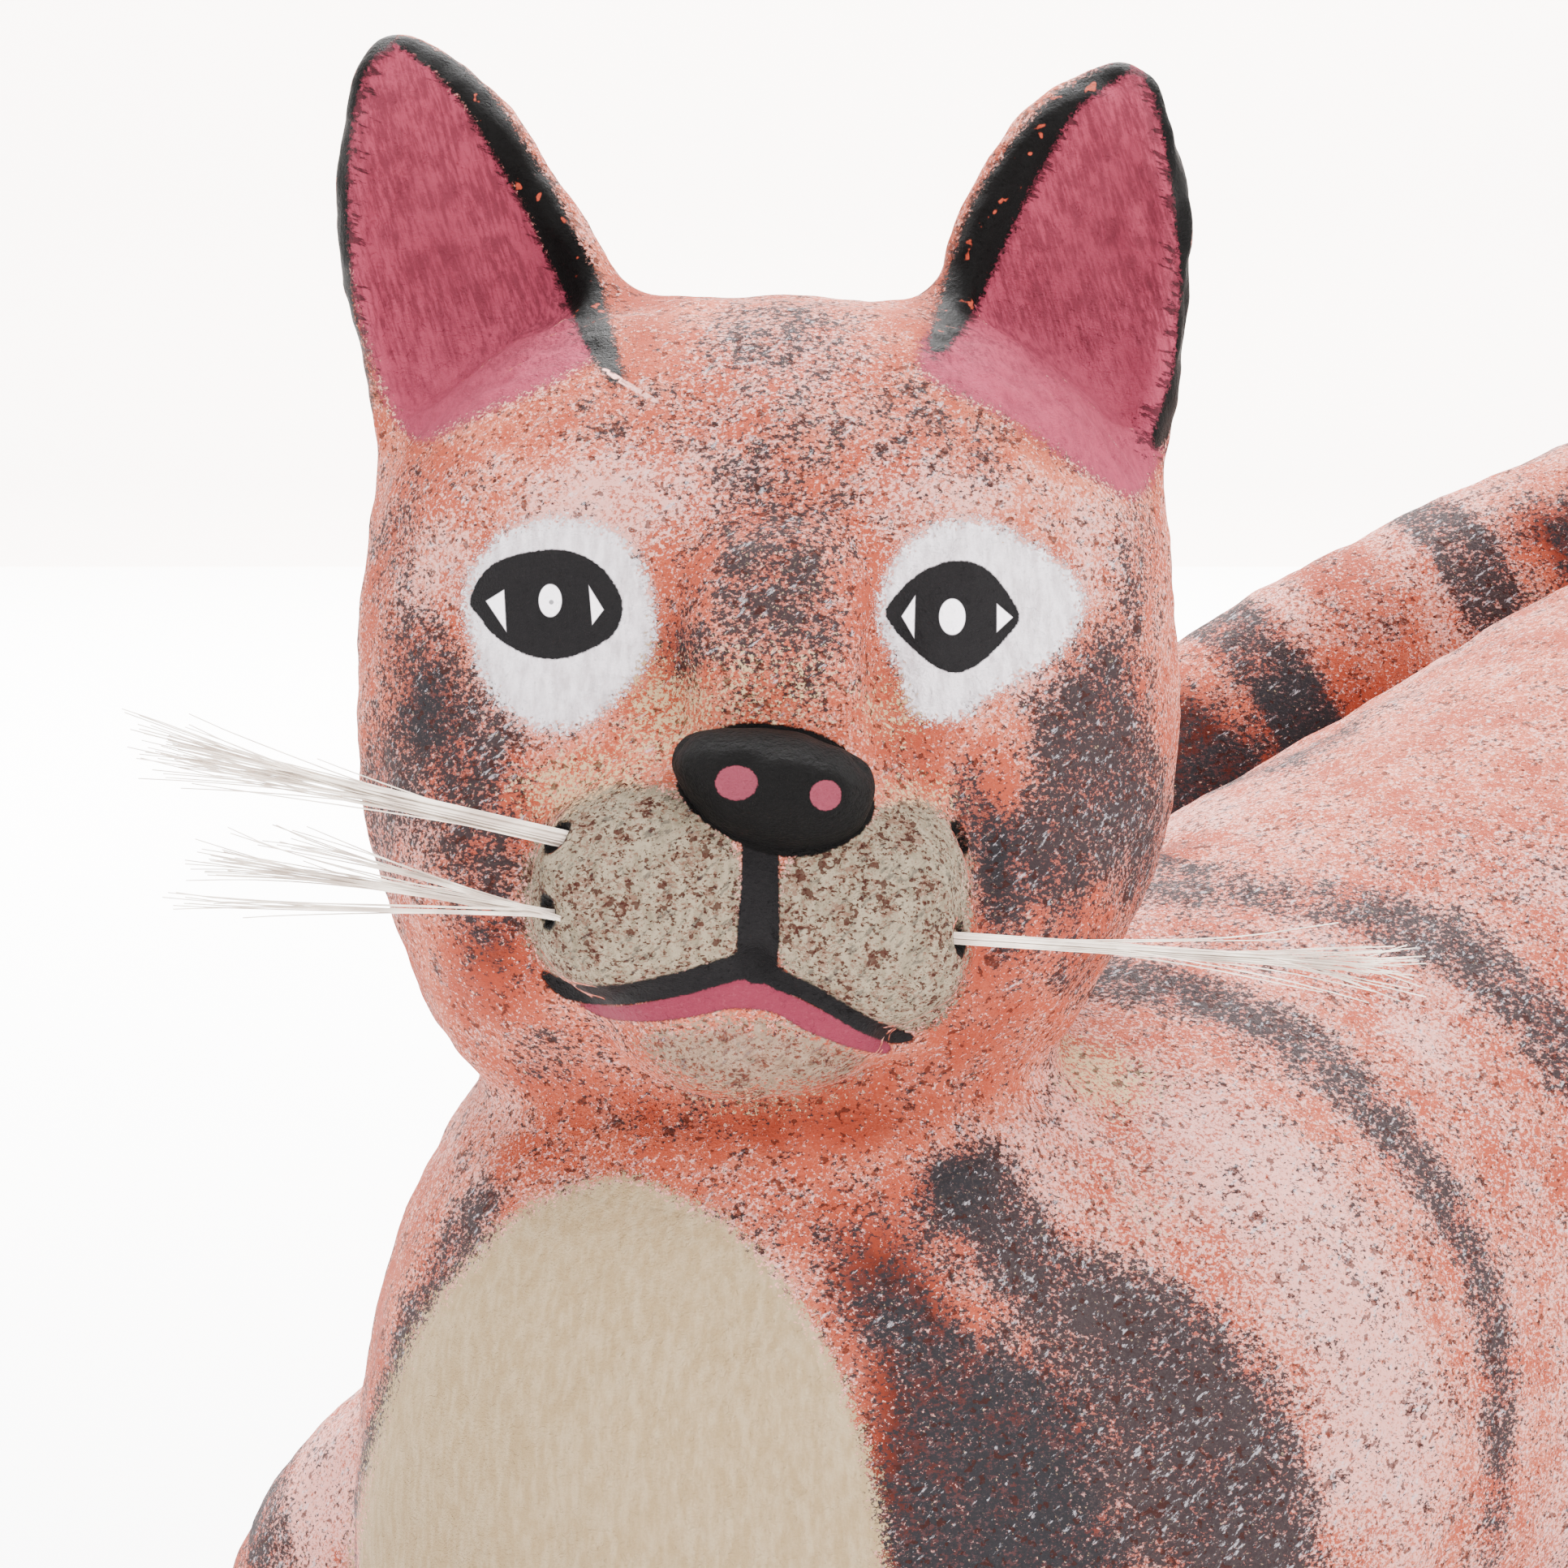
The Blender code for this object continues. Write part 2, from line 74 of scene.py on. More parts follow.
HIND_LEFT = [
    (132, 116, 92, 32), (131, 107, 66, 22), (142, 112, 44, 15), (149, 117, 27, 12),
    (147, 116, 11.5, 12), (130, 104, 10.5, 12),
]
HIND_RIGHT = [
    (104, 160, 92, 32), (95, 160, 66, 22), (104, 166, 44, 15), (111, 171, 27, 12),
    (109, 170, 11.5, 12), (92, 158, 10.5, 12),
]
LEGS = [FRONT_LEFT, FRONT_RIGHT, HIND_LEFT, HIND_RIGHT]
TOE_PAD = (12.5, 17, 11)
TAIL = [
    (136, 166, 131, 15), (144, 179.5, 142, 13.5), (150.5, 191, 152, 12.8), (142, 197.5, 161, 12.5),
    (121, 193, 161, 12.5), (97, 184, 152.5, 12.5), (76, 177.5, 143.5, 12.5), (53, 172, 131, 12.5),
    (31, 166.5, 111, 12.2), (13, 160, 84, 11.8), (2, 152, 52, 11.2), (-8, 142, 25, 10.6),
    (-22, 130, 11.8, 9.8), (-38, 121, 10.2, 8.2), (-50, 118, 10, 5.5),
]

# head frame: x towards the figure's left, depth behind the face, height over the face's middle
SKULL = ((-1.7, 42, 9.5), (40.3, 36.5, 38.3), 2.6)
# name: centre, radii, power, blend with what is already there
FACE = [
    ("cheeks", (-2.5, 22, -8), (33, 17, 19), 2.3, 6),
    ("jaw", (-3, 34, -14), (33, 24, 22), 2.2, 4),
    ("muzzle", (-3, 10, -9), (18.5, 14, 15), 2.2, 4),
    ("bridge", (-0.6, 10, 8), (9.6, 10.5, 17), 3.0, 3),
    ("right_lobe", (-13.4, 4.5, -10.6), (10.3, 9.5, 9.6), 2.2, 3),
    ("left_lobe", (7.6, 4.5, -12.2), (10.3, 9.5, 10.6), 2.2, 3),
    ("chin", (-3.5, 9, -23.5), (12, 9.5, 6), 2.0, 4),
    ("nose", (-0.4, -2.5, -0.5), (8.9, 5.5, 5.5), 2.25, 0.6),
]
RIGHT_EAR = [
    (-23.5, 27, 13), (-26.6, 38.3, 13.6), (-29.2, 46.1, 13), (-31.8, 52.4, 11.9),
    (-34.3, 60.3, 9.6), (-36.9, 67.2, 6.0), (-38.2, 70.6, 3.0),
]
LEFT_EAR = [
    (21.5, 27, 13), (25.6, 38.3, 13), (27.2, 46.1, 12.3), (28.3, 52.4, 11.6), (29.7, 58.4, 9.8),
    (31.2, 63, 7.0), (32.7, 66.3, 4.4), (33.4, 68.2, 2.5),
]
EAR_DEPTH = 38.0
EAR_FLATNESS = 0.56
EAR_RIM = 2.0
EAR_BOWL_FORWARD = 6.2
# a leaf's distances shrink by its flatness, and its rim is rounded off
EAR_DISTANCE_SCALE = 0.8
EAR_ROUNDING = 1.6


# ---------------------------------------------------------------- places
def to_row(points):
    """Figure millimetres to row-frame metres."""
    return (np.asarray(points, float) + CENTRE) * MM


def from_row(points):
    """Row-frame metres to figure millimetres."""
    return np.asarray(points, float) / MM - CENTRE


COS, SIN = math.cos(HEAD_TILT), math.sin(HEAD_TILT)
HEAD_AXES = np.array([[1, 0, 0], [0, COS, -SIN], [0, SIN, COS]])
HEAD_ORIGIN = np.array([0, 0, HEAD_HEIGHT])


def head_to_figure(points):
    """Head-frame millimetres (x, depth, height) to figure millimetres."""
    return np.asarray(points, float) @ HEAD_AXES + HEAD_ORIGIN


def figure_to_head(points):
    """Figure millimetres to head-frame millimetres."""
    return (np.asarray(points, float) - HEAD_ORIGIN) @ HEAD_AXES.T


# ---------------------------------------------------------------- distances
def catmull_rom(fours, steps):
    """Points on a Catmull-Rom curve, from each four neighbouring stations."""
    made = []
    for a, b, c, d in fours:
        for t in np.arange(steps) / steps:
            bend = 2 * b + (c - a) * t + (2 * a - 5 * b + 4 * c - d) * t**2
            made.append((bend + (3 * b - a - 3 * c + d) * t**3) / 2)
    return made


def smooth_stations(stations, steps):
    """Stations on a smooth curve through the given ones."""
    rows = np.array([stations[0], *stations, stations[-1]], dtype=float)
    return np.array([*catmull_rom(zip(rows, rows[1:], rows[2:], rows[3:]), steps), rows[-1]])


class Tube:
    """A limb of changing radius along a smooth curve."""

    def __init__(self, stations, steps=6):
        rows = smooth_stations(stations, steps)
        self.start, self.radius = rows[:-1, :3], rows[:-1, 3]
        self.way = rows[1:, :3] - rows[:-1, :3]
        self.grow = rows[1:, 3] - rows[:-1, 3]
        self.length = np.maximum(np.linalg.norm(self.way, axis=1), 1e-6)
        self.before = np.concatenate([[0], np.cumsum(self.length)[:-1]])
        self.middle = self.start + self.way / 2
        self.reach = self.length / 2 + np.maximum(rows[:-1, 3], rows[1:, 3]) + 16

    def near(self, centre, radius):
        """The stretches that lie near a ball."""
        return np.linalg.norm(self.middle - centre, axis=1) < self.reach + radius

    def measure(self, points, use=None):
        """Distance of each point to the limb, and how far along it the point lies."""
        if use is None:
            use = np.ones(len(self.length), bool)
        if not use.any():
            return np.full(len(points), FAR), np.zeros(len(points))
        away = points[:, None] - self.start[use]
        t = (away * self.way[use]).sum(2) / self.length[use] ** 2
        t = np.clip(t, 0, 1)
        away -= t[..., None] * self.way[use]
        far = np.sqrt((away**2).sum(2)) - self.radius[use] - t * self.grow[use]
        pick = far.argmin(1)
        rows = np.arange(len(points))
        along = (self.before[use] + t * self.length[use])[rows, pick]
        return far[rows, pick], along


def in_groups(points, work, size=20.0):
    """Runs work(points, centre, radius) on groups of neighbouring points."""
    key = np.floor(points / size).astype(np.int64) + 1000
    key = (key[:, 0] * 4096 + key[:, 1]) * 4096 + key[:, 2]
    order = np.argsort(key, kind="stable")
    ends = np.flatnonzero(np.diff(key[order])) + 1
    made = np.empty(len(points))
    for group in np.split(order, ends):
        for part in np.array_split(group, len(group) // 4000 + 1):
            chunk = points[part]
            centre = (chunk.min(0) + chunk.max(0)) / 2
            radius = np.linalg.norm(chunk.max(0) - chunk.min(0)) / 2
            made[part] = work(chunk, centre, radius)
    return made


def ball_distance(points, centre, radii, power):
    """Distance to a rounded form, along the line from its centre."""
    away = points - np.asarray(centre, float)
    size = (np.abs(away / np.asarray(radii, float)) ** power).sum(1) ** (1 / power)
    return np.linalg.norm(away, axis=1) * (1 - 1 / np.maximum(size, 1e-6))


def soft_join(a, b, blend):
    """The nearer of two distances, with the crease between them filled."""
    h = np.clip(0.5 + 0.5 * (b - a) / blend, 0, 1)
    return b + (a - b) * h - blend * h * (1 - h)


def turned(points, centre, turn):
    """Points in a frame at centre, turned about the vertical."""
    local = points - np.asarray(centre, float)
    spun = local.copy()
    spun[:, 0] = local[:, 0] * math.cos(turn) + local[:, 1] * math.sin(turn)
    spun[:, 1] = local[:, 1] * math.cos(turn) - local[:, 0] * math.sin(turn)
    return spun


def toe_turn(stations):
    """Which way a foot points."""
    ankle, toe = stations[-2], stations[-1]
    return math.atan2(toe[1] - ankle[1], toe[0] - ankle[0]) + math.pi / 2


def nose_distance(head):
    """Distance to the nose, which leans a little and narrows downwards."""
    _, centre, radii, power, _ = FACE[-1]
    rise = np.clip(head[:, 2] - centre[2], -7, 7)
    bent = head.copy()
    shifted = head[:, 0] - centre[0] + NOSE_SHIFT * rise
    bent[:, 0] = centre[0] + shifted / (1 + NOSE_TAPER * rise)
    bent[:, 2] = head[:, 2] + NOSE_LEAN * (head[:, 0] - centre[0])
    return ball_distance(bent, centre, radii, power)


class Ear:
    """A hollowed leaf, in the head frame."""

    def __init__(self, stations):
        self.leaf = Tube([(x, 0, z, half) for x, z, half in stations], 5)
        self.bowl = Tube([(x, 0, z, half - EAR_RIM) for x, z, half in stations[1:]], 5)

    def distance(self, head):
        """Distance to the ear."""
        flat = head.copy()
        flat[:, 1] = (head[:, 1] - EAR_DEPTH) / EAR_FLATNESS
        leaf, _ = self.leaf.measure(flat)
        flat[:, 1] += EAR_BOWL_FORWARD / EAR_FLATNESS
        bowl, _ = self.bowl.measure(flat)
        return -soft_join(-leaf * EAR_DISTANCE_SCALE, bowl * EAR_DISTANCE_SCALE, EAR_ROUNDING)


TUBES = {"trunk": Tube(TRUNK), "neck": Tube(NECK), "tail": Tube(TAIL)}
LEG_TUBES = [Tube(stations) for stations in LEGS]
EARS = [Ear(LEFT_EAR), Ear(RIGHT_EAR)]


def near_distance(points, centre, radius):
    """Distance to the carving for points that all lie in one ball."""
    far = np.full(len(points), FAR)
    for tube in (TUBES["trunk"], TUBES["neck"]):
        far = soft_join(far, tube.measure(points, tube.near(centre, radius))[0], BLEND)
    for stations, tube in zip(LEGS, LEG_TUBES):
        leg, _ = tube.measure(points, tube.near(centre, radius))
        if np.linalg.norm(centre - stations[-1][:3]) < radius + FOOT_REACH:
            toes = turned(points, stations[-1][:3], toe_turn(stations))
            leg = soft_join(leg, ball_distance(toes, (0, 0, 0), TOE_PAD, 2.3), 3)
        far = soft_join(far, leg, BLEND)
    tail = TUBES["tail"]
    gap, along = tail.measure(points, tail.near(centre, radius))
    joined = soft_join(far, gap, BLEND)
    parted = np.minimum(np.maximum(far, TAIL_CLEARANCE - gap), gap)
    far = joined + (parted - joined) * ramp(along, *TAIL_PARTS_AT)
    if np.linalg.norm(centre - HEAD_MIDDLE) < radius + HEAD_REACH:
        head = figure_to_head(points)
        skull = ball_distance(head, *SKULL)
        for _, middle, radii, power, blend in FACE[:-1]:
            skull = soft_join(skull, ball_distance(head, middle, radii, power), blend)
        skull = soft_join(skull, nose_distance(head), FACE[-1][4])
        far = soft_join(far, skull, HEAD_BLEND)
        for ear in EARS:
            far = soft_join(far, ear.distance(head), EAR_BLEND)
    return np.maximum(far, -points[:, 2])


def figure_distance(points):
    """Distance to the whole carving, in figure millimetres."""
    return in_groups(points, near_distance)


# ---------------------------------------------------------------- skins
CORNERS = np.array([(i, j, k) for i in (0, 1) for j in (0, 1) for k in (0, 1)])
CELL_EDGES = [
    (a, b) for a in range(8) for b in range(a + 1, 8) if abs(CORNERS[a] - CORNERS[b]).sum() == 1
]


def distance_grid(low, high, pitch, block=5):
    """Distances on a grid, worked out only near the surface."""
    low = np.array(low, float)
    counts = np.ceil((np.array(high) - low) / pitch).astype(int) + 1
    starts = [np.arange(0, count, block) for count in counts]
    grid = np.stack(np.meshgrid(*starts, indexing="ij"), -1)
    middles = low + (grid.reshape(-1, 3) + (block - 1) / 2) * pitch
    rough = figure_distance(middles).reshape(grid.shape[:3])
    field = rough
    for axis in range(3):
        field = np.repeat(field, block, axis=axis)
    field = field[: counts[0], : counts[1], : counts[2]].astype(np.float32)
    near = np.abs(rough) < block * pitch * 1.2 + 1.0
    steps = np.stack(np.meshgrid(*[np.arange(block)] * 3, indexing="ij"), -1).reshape(-1, 3)
    nodes = (grid[near][:, None] + steps).reshape(-1, 3)
    nodes = nodes[(nodes < counts).all(1)]
    field[tuple(nodes.T)] = figure_distance(low + nodes * pitch)
    return field


def without_pinches(field):
    """Thickens a field a touch where its surface would touch itself along an edge."""
    field = field.copy()
    for _ in range(4):
        for axis, other in ((0, 1), (1, 2), (0, 2)):
            view = np.moveaxis(field, (axis, other), (0, 1))
            inside = view < 0
            a, b = inside[:-1, :-1], inside[1:, :-1]
            c, d = inside[:-1, 1:], inside[1:, 1:]
            pinch = (a == d) & (b == c) & (a != b)
            for part in (view[:-1, :-1], view[1:, :-1], view[:-1, 1:], view[1:, 1:]):
                part[pinch & (part >= 0)] = -0.02
    return field


def skin(low, high, pitch):
    """Points and four-sided faces of the carving's surface inside a box."""
    field = without_pinches(distance_grid(low, high, pitch))
    inside = field < 0
    size = [count - 1 for count in field.shape]
    total = sum(
        inside[i : i + size[0], j : j + size[1], k : k + size[2]].astype(np.int8)
        for i, j, k in CORNERS
    )
    cells = np.argwhere((total > 0) & (total < 8))
    index = np.full(size, -1, np.int32)
    index[tuple(cells.T)] = np.arange(len(cells))
    crossings = np.zeros((len(cells), 3))
    count = np.zeros(len(cells))
    for a, b in CELL_EDGES:
        here = field[tuple((cells + CORNERS[a]).T)].astype(float)
        there = field[tuple((cells + CORNERS[b]).T)].astype(float)
        cross = (here < 0) != (there < 0)
        t = here[cross] / (here[cross] - there[cross])
        crossings[cross] += CORNERS[a] + t[:, None] * (CORNERS[b] - CORNERS[a])
        count[cross] += 1
    points = np.array(low) + (cells + crossings / count[:, None]) * pitch
    faces = []
    for axis in range(3):
        side, other = (axis + 1) % 3, (axis + 2) % 3
        one = np.zeros(3, int)
        one[axis] = 1
        shape = [count - one[k] for k, count in enumerate(field.shape)]
        first = inside[: shape[0], : shape[1], : shape[2]]
        second = inside[one[0] :, one[1] :, one[2] :]
        places = np.argwhere(first != second)
        good = (places[:, side] > 0) & (places[:, other] > 0)
        good &= (places[:, side] < size[side]) & (places[:, other] < size[other])
        places = places[good]
        around = []
        for back_side, back_other in ((0, 0), (1, 0), (1, 1), (0, 1)):
            cell = places.copy()
            cell[:, side] -= back_side
            cell[:, other] -= back_other
            around.append(index[tuple(cell.T)])
        quads = np.stack(around, 1)
        flip = first[tuple(places.T)]
        quads[~flip] = quads[~flip][:, ::-1]
        faces.append(quads)
    return points, np.concatenate(faces)


def new_mesh(name, points, faces):
    """A mesh in the row frame from figure millimetres."""
    mesh = bpy.data.meshes.new(name)
    mesh.vertices.add(len(points))
    mesh.vertices.foreach_set("co", to_row(points).astype(np.float32).ravel())
    mesh.loops.add(faces.size)
    mesh.loops.foreach_set("vertex_index", faces.ravel().astype(np.int32))
    mesh.polygons.add(len(faces))
    sides = faces.shape[1]
    mesh.polygons.foreach_set("loop_start", np.arange(0, faces.size, sides, dtype=np.int32))
    mesh.update(calc_edges=True)
    return mesh


def points_of(mesh):
    """A mesh's points, in figure millimetres."""
    flat = np.empty(len(mesh.vertices) * 3, np.float32)
    mesh.vertices.foreach_get("co", flat)
    return from_row(flat.reshape(-1, 3))


def normals_of(mesh):
    """A mesh's normals at its points."""
    flat = np.empty(len(mesh.vertices) * 3, np.float32)
    mesh.vertex_normals.foreach_get("vector", flat)
    return flat.reshape(-1, 3).astype(float)


def move_points(mesh, points):
    """Puts a mesh's points at figure millimetres."""
    mesh.vertices.foreach_set("co", to_row(points).astype(np.float32).ravel())
    mesh.update()


def sculpted_skin(name, box, pitch):
    """The carving's surface in a box, drawn onto its true form and then sculpted."""
    mesh = new_mesh(name, *skin(*box, pitch))
    for _ in range(2):
        points = points_of(mesh)
        pull = np.clip(figure_distance(points), -pitch, pitch)
        move_points(mesh, points - normals_of(mesh) * pull[:, None])
    points = points_of(mesh)
    normals = normals_of(mesh)
    planed = points[:, 2] < 0.3
    moved = points + normals * relief(points, normals)[:, None]
    moved[planed] = points[planed]
    moved[:, 2] = np.maximum(moved[:, 2], 0)
    move_points(mesh, moved)
    return mesh


# ---------------------------------------------------------------- painted outlines
def at(depth, points):
    """Face points measured at a depth, as the painter sees them on the face's plane."""
    return np.array(points, float) / (1 + depth / PAINTER_DISTANCE)


def seen(head):
    """Where the painter sees head-frame points on the face's plane."""
    scale = 1 + head[:, 1] / PAINTER_DISTANCE
    return np.stack([head[:, 0] / scale, head[:, 2] / scale], 1)


EYE_WHITES = [
    at(9, [
        (-29.8, 17.2), (-28.6, 21), (-24.8, 24.1), (-20.2, 24.8), (-15.7, 23.3), (-13.4, 20.2),
        (-12.2, 15.7), (-13.0, 11.9), (-15.6, 8.4), (-19.4, 5.4), (-23.7, 5.7), (-27.3, 8.6),
        (-29.0, 12.6),
    ]),
    at(9, [
        (9.2, 17.2), (10.6, 21), (13.8, 23.9), (17.8, 24.6), (22.4, 22.9), (26.2, 20.2),
        (28.0, 17.2), (26.4, 13.2), (23.1, 10.7), (19.3, 8.4), (16.0, 6.2), (12.3, 6.6),
        (10.8, 11.1), (9.4, 14.2),
    ]),
]
EYE_BLACKS = [
    at(9, [
        (-29.5, 17.2), (-27.9, 20.2), (-24.8, 21.6), (-21, 22), (-18, 21), (-16.1, 19.1),
        (-15.1, 16.8), (-15.7, 14.5), (-17.6, 12.9), (-21, 11.7), (-24.1, 12.1), (-27.1, 13.8),
        (-28.6, 15.7),
    ]),
    at(9, [
        (9.5, 16.3), (11, 18.3), (13.2, 20.1), (16.3, 21), (19, 20.2), (20.9, 18), (22.1, 15.7),
        (20.9, 13.8), (18.6, 11.5), (16.3, 10.4), (14, 11.1), (11.3, 13.4), (9.8, 15.3),
    ]),
]
# centre and half sizes of the light in each eye, and its two slivers, each three corners
EYE_LIGHTS = [((-21.6, 16.95), (1.05, 1.5)), ((15.55, 15.45), (1.2, 1.65))]
EYE_SPECK = (-21.5, 16.8)
EYE_SLIVERS = [
    ((-27.5, 16.9), (-25.9, 17.9), (-25.7, 14.2)),
    ((-18.0, 18.2), (-16.7, 16.1), (-17.7, 14.8)),
    ((10.9, 15.5), (12.1, 17.3), (12.0, 13.6)),
    ((19.7, 16.6), (21.1, 15.4), (19.7, 14.1)),
]
MOUTH = [
    [(-22.1, -17.6, 0.4), (-19.9, -19.1, 0.8), (-15.4, -19.5, 0.95), (-10.2, -18.6, 1.1),
     (-7.2, -17.8, 1.15), (-3.7, -16.7, 1.2), (-2.6, -16.4, 1.2)],
    [(-2.6, -16.2, 1.2), (-0.8, -17.9, 1.0), (2.5, -19.4, 0.85), (7, -22.0, 0.8),
     (10.0, -23.2, 0.75), (11.8, -23.4, 0.3)],
    [(-2.2, -5.6, 1.7), (-2.2, -9, 1.75), (-2.35, -13.2, 1.95), (-2.5, -16.6, 1.9)],
]
LIP = at(3, [
    (-19.7, -19.9), (-15.5, -20.6), (-10.3, -19.7), (-6.5, -18.6), (-3.4, -17.4), (-0.8, -18.8),
    (2.6, -20.5), (7.1, -22.7), (9.9, -24.2), (9.2, -25.1), (5.6, -24.3), (1.8, -22.8),
    (-1.2, -21.2), (-5, -20.9), (-8.7, -21.7), (-13.3, -22.1), (-17, -21.6),
])
MUZZLES = [
    at(2, [
        (-8, -2.6), (-4.6, -6.4), (-4.1, -11.6), (-4.6, -16.1), (-10.2, -17.8), (-15.5, -18.9),
        (-20, -18.3), (-23.2, -14.6), (-23.8, -10.1), (-22.9, -6.0), (-20, -2.8), (-15.5, -0.6),
        (-11, -0.8),
    ]),
    at(2, [
        (0.7, -7.1), (5.6, -5.3), (9.3, -2.6), (13.1, -2.2), (16.3, -5.6), (16.9, -10.8),
        (16.6, -15.4), (15.4, -20.1), (12.3, -22.6), (9.3, -22.4), (5.6, -20.6), (1.8, -18.4),
        (-0.3, -16.1), (-0.5, -11.6),
    ]),
]
CHIN = at(10, [
    (-13.7, -24.0), (-8.8, -22.4), (-3.5, -22.0), (2.6, -23.0), (7.6, -25.5), (4.6, -28.2),
    (-3.5, -29.2), (-10.6, -27.6),
])
CHEST = at(8, [
    (-14.9, -37.2), (-10.3, -38.9), (-5, -42.1), (-0.5, -47.0), (2.6, -51.2), (5.6, -57.3),
    (7.9, -64.9), (9, -73.4), (9.2, -86), (9, -104), (2, -128), (-20, -132), (-38, -118),
    (-41, -100), (-41, -84), (-40, -73.4), (-38.5, -63.4), (-36.2, -55.8), (-33.1, -49.7),
    (-28.6, -44.4), (-24.8, -40.6), (-20.2, -38.3),
])
ROSES = [
    at(34, [
        (-36.0, 33.6), (-39.3, 38.3), (-42.6, 48.8), (-44, 58.3), (-43, 67.8), (-40.3, 73.6),
        (-36.1, 72.2), (-31.4, 67.3), (-26.6, 60.1), (-22.7, 52.2), (-18.9, 46.9),
        (-17.0, 42.9), (-21.1, 39.9), (-27.4, 37.0), (-32.2, 34.8),
    ]),
    at(34, [
        (13.4, 40.3), (15.0, 45.9), (18.1, 51.4), (22.1, 59.3), (26.9, 66.7), (31.2, 70.4),
        (35.4, 70.8), (38.6, 65.7), (40.6, 59.1), (41.4, 52), (40.4, 42.5), (37.8, 34.6),
        (34.8, 28.2), (30.4, 29.8), (22.5, 35.3),
    ]),
]
NOSTRILS = [((-4.4, 0.1), (1.95, 1.6)), ((3.85, -1.05), (1.45, 1.4))]
# black strokes along the ears: the broad inner bands and the fine outer edges
EAR_BANDS = [
    [(-35.1, 68.7, 0.7), (-32.4, 67.1, 0.9), (-30.2, 65.4, 1.2), (-27.6, 62.3, 1.4),
     (-24.9, 57.8, 1.5), (-22.7, 54.3, 1.6), (-20.8, 50.3, 1.6), (-18.7, 45.9, 1.7),
     (-17.4, 41.9, 1.4), (-16.2, 39, 1.0), (-15.5, 37.5, 0.5)],
    [(31.3, 66.3, 0.7), (28.6, 64.8, 0.9), (26.1, 63.1, 1.2), (23.8, 60.2, 1.6),
     (21.5, 56.7, 1.9), (19.8, 53.7, 2.1), (18.5, 50.8, 2.1), (17.3, 47.7, 1.9),
     (15.9, 44.1, 1.6), (14.3, 40.8, 0.9)],
]
EAR_LINES = [
    [(-36.2, 69.1, 0.5), (-38.7, 67.3, 0.7), (-40, 64.5, 0.8), (-40.9, 60.1, 0.8),
     (-41.2, 54.8, 0.8), (-41, 49.4, 0.8), (-40.6, 44.1, 0.8), (-39.5, 38.8, 0.8),
     (-38.5, 34.4, 0.4)],
    [(33.9, 65.4, 0.5), (35.2, 63.2, 0.8), (36.1, 60.1, 1.0), (37, 55.6, 1.2),
     (37.6, 51.2, 1.3), (38, 46.8, 1.3), (37.6, 42.4, 1.2), (37, 37.9, 1.1),
     (35.7, 34.4, 0.9), (34.6, 31.7, 0.6)],
]
BRISTLE = [(-16.6, 38.3, 0.18), (-14.6, 37.0, 0.24), (-11.7, 35.3, 0.2)]
WHISKER_ROOTS = {
    "right_upper": (-21.0, -4.9),
    "right_lower": (-22.4, -11.9),
    "left_upper": (16.4, -5.0),
    "left_lower": (16.8, -14.3),
}

# soft dabs of paint on the face: across, height, half widths, turn in degrees, strength
SLATE_DABS = [
    (-0.5, 24.0, 9, 15, 0, 0.38), (-2, 19, 7, 5, 0, 0.25), (-0.5, 41, 8, 5, 0, 0.4),
    (-30.5, 3.0, 6.5, 8, 20, 0.68), (-37, -3, 3.5, 9, 0, 0.5), (-28, -6.5, 5, 5, 0, 0.55),
    (-27.5, -14, 4, 5, 30, 0.35), (28, 4.5, 5.5, 8, -10, 0.9), (25.5, -6, 5, 7, -30, 0.8),
    (20, -7.5, 3, 7, 0, 0.65), (32.5, -3, 4, 9, 0, 0.55), (18.3, 29.7, 3.0, 2.2, -30, 0.35),
    (32.5, 20, 2.5, 8, 0, 0.35), (-32, 29, 5, 2.2, 10, 0.2), (-33.5, 12.5, 4, 5, 0, 0.5),
    (-20, -24, 6, 3.5, 0, 0.35), (-8.7, -30.4, 11, 2.6, 0, 0.2), (-8.7, 12.5, 2.5, 4, 0, 0.35),
    (0, 12, 8, 7, 0, 0.3), (17, -1.5, 2.0, 4.5, 0, 0.6), (34, -9, 3, 8, 0, 0.4),
    (12, 33, 6, 5, 0, 0.3), (-14, 34, 6, 4, 0, 0.25), (30, 12, 3, 4, 0, 0.35),
    (27, -17, 5, 6, 30, 0.3), (-22, 9, 3, 3, 0, 0.1), (-36, 22, 3, 6, -15, 0.4),
]
PALE_DABS = [
    (-16, 26, 9, 5.5, 0, 0.8), (10, 27, 5, 6, 0, 0.55), (17, 27, 6, 3, -20, 0.6),
    (-32, 20, 4.5, 8, -25, 0.6), (-27, 5, 6, 5, 0, 0.5), (32, -7, 5, 10, 20, 0.5),
    (-35, -5, 4, 10, 0, 0.5), (-28, -22, 6, 6, 0, 0.35), (0, 39, 10, 5, 0, 0.6),
    (-6, 30, 8, 6, 0, 0.4), (29, 22, 5, 7, 0, 0.5), (0, -38, 14, 4, 0, 0.4),
    (-24, -13, 4, 6, 0, 0.4), (11, 18, 2.5, 8, 0, 0.35), (24, 9, 4, 3, 0, 0.5),
]
CREAM_DABS = [
    (-2, 9, 9, 5, 0, 0.5), (-11, 6, 5, 5, 0, 0.7), (-18, 0.5, 6, 3.5, 0, 0.75),
    (10, 6.5, 4, 4, 0, 0.55), (-13, 12, 2.5, 4, 0, 0.4), (12, -1, 5, 2.5, 0, 0.6),
    (0, 19, 7, 5, 0, 0.15), (-3, -29, 9, 2.5, 0, 0.45), (11, -26, 3, 2, 0, 0.2),
    (-22, -1.5, 4, 3, 0, 0.5), (2, 33, 9, 4, 0, 0.1),
]
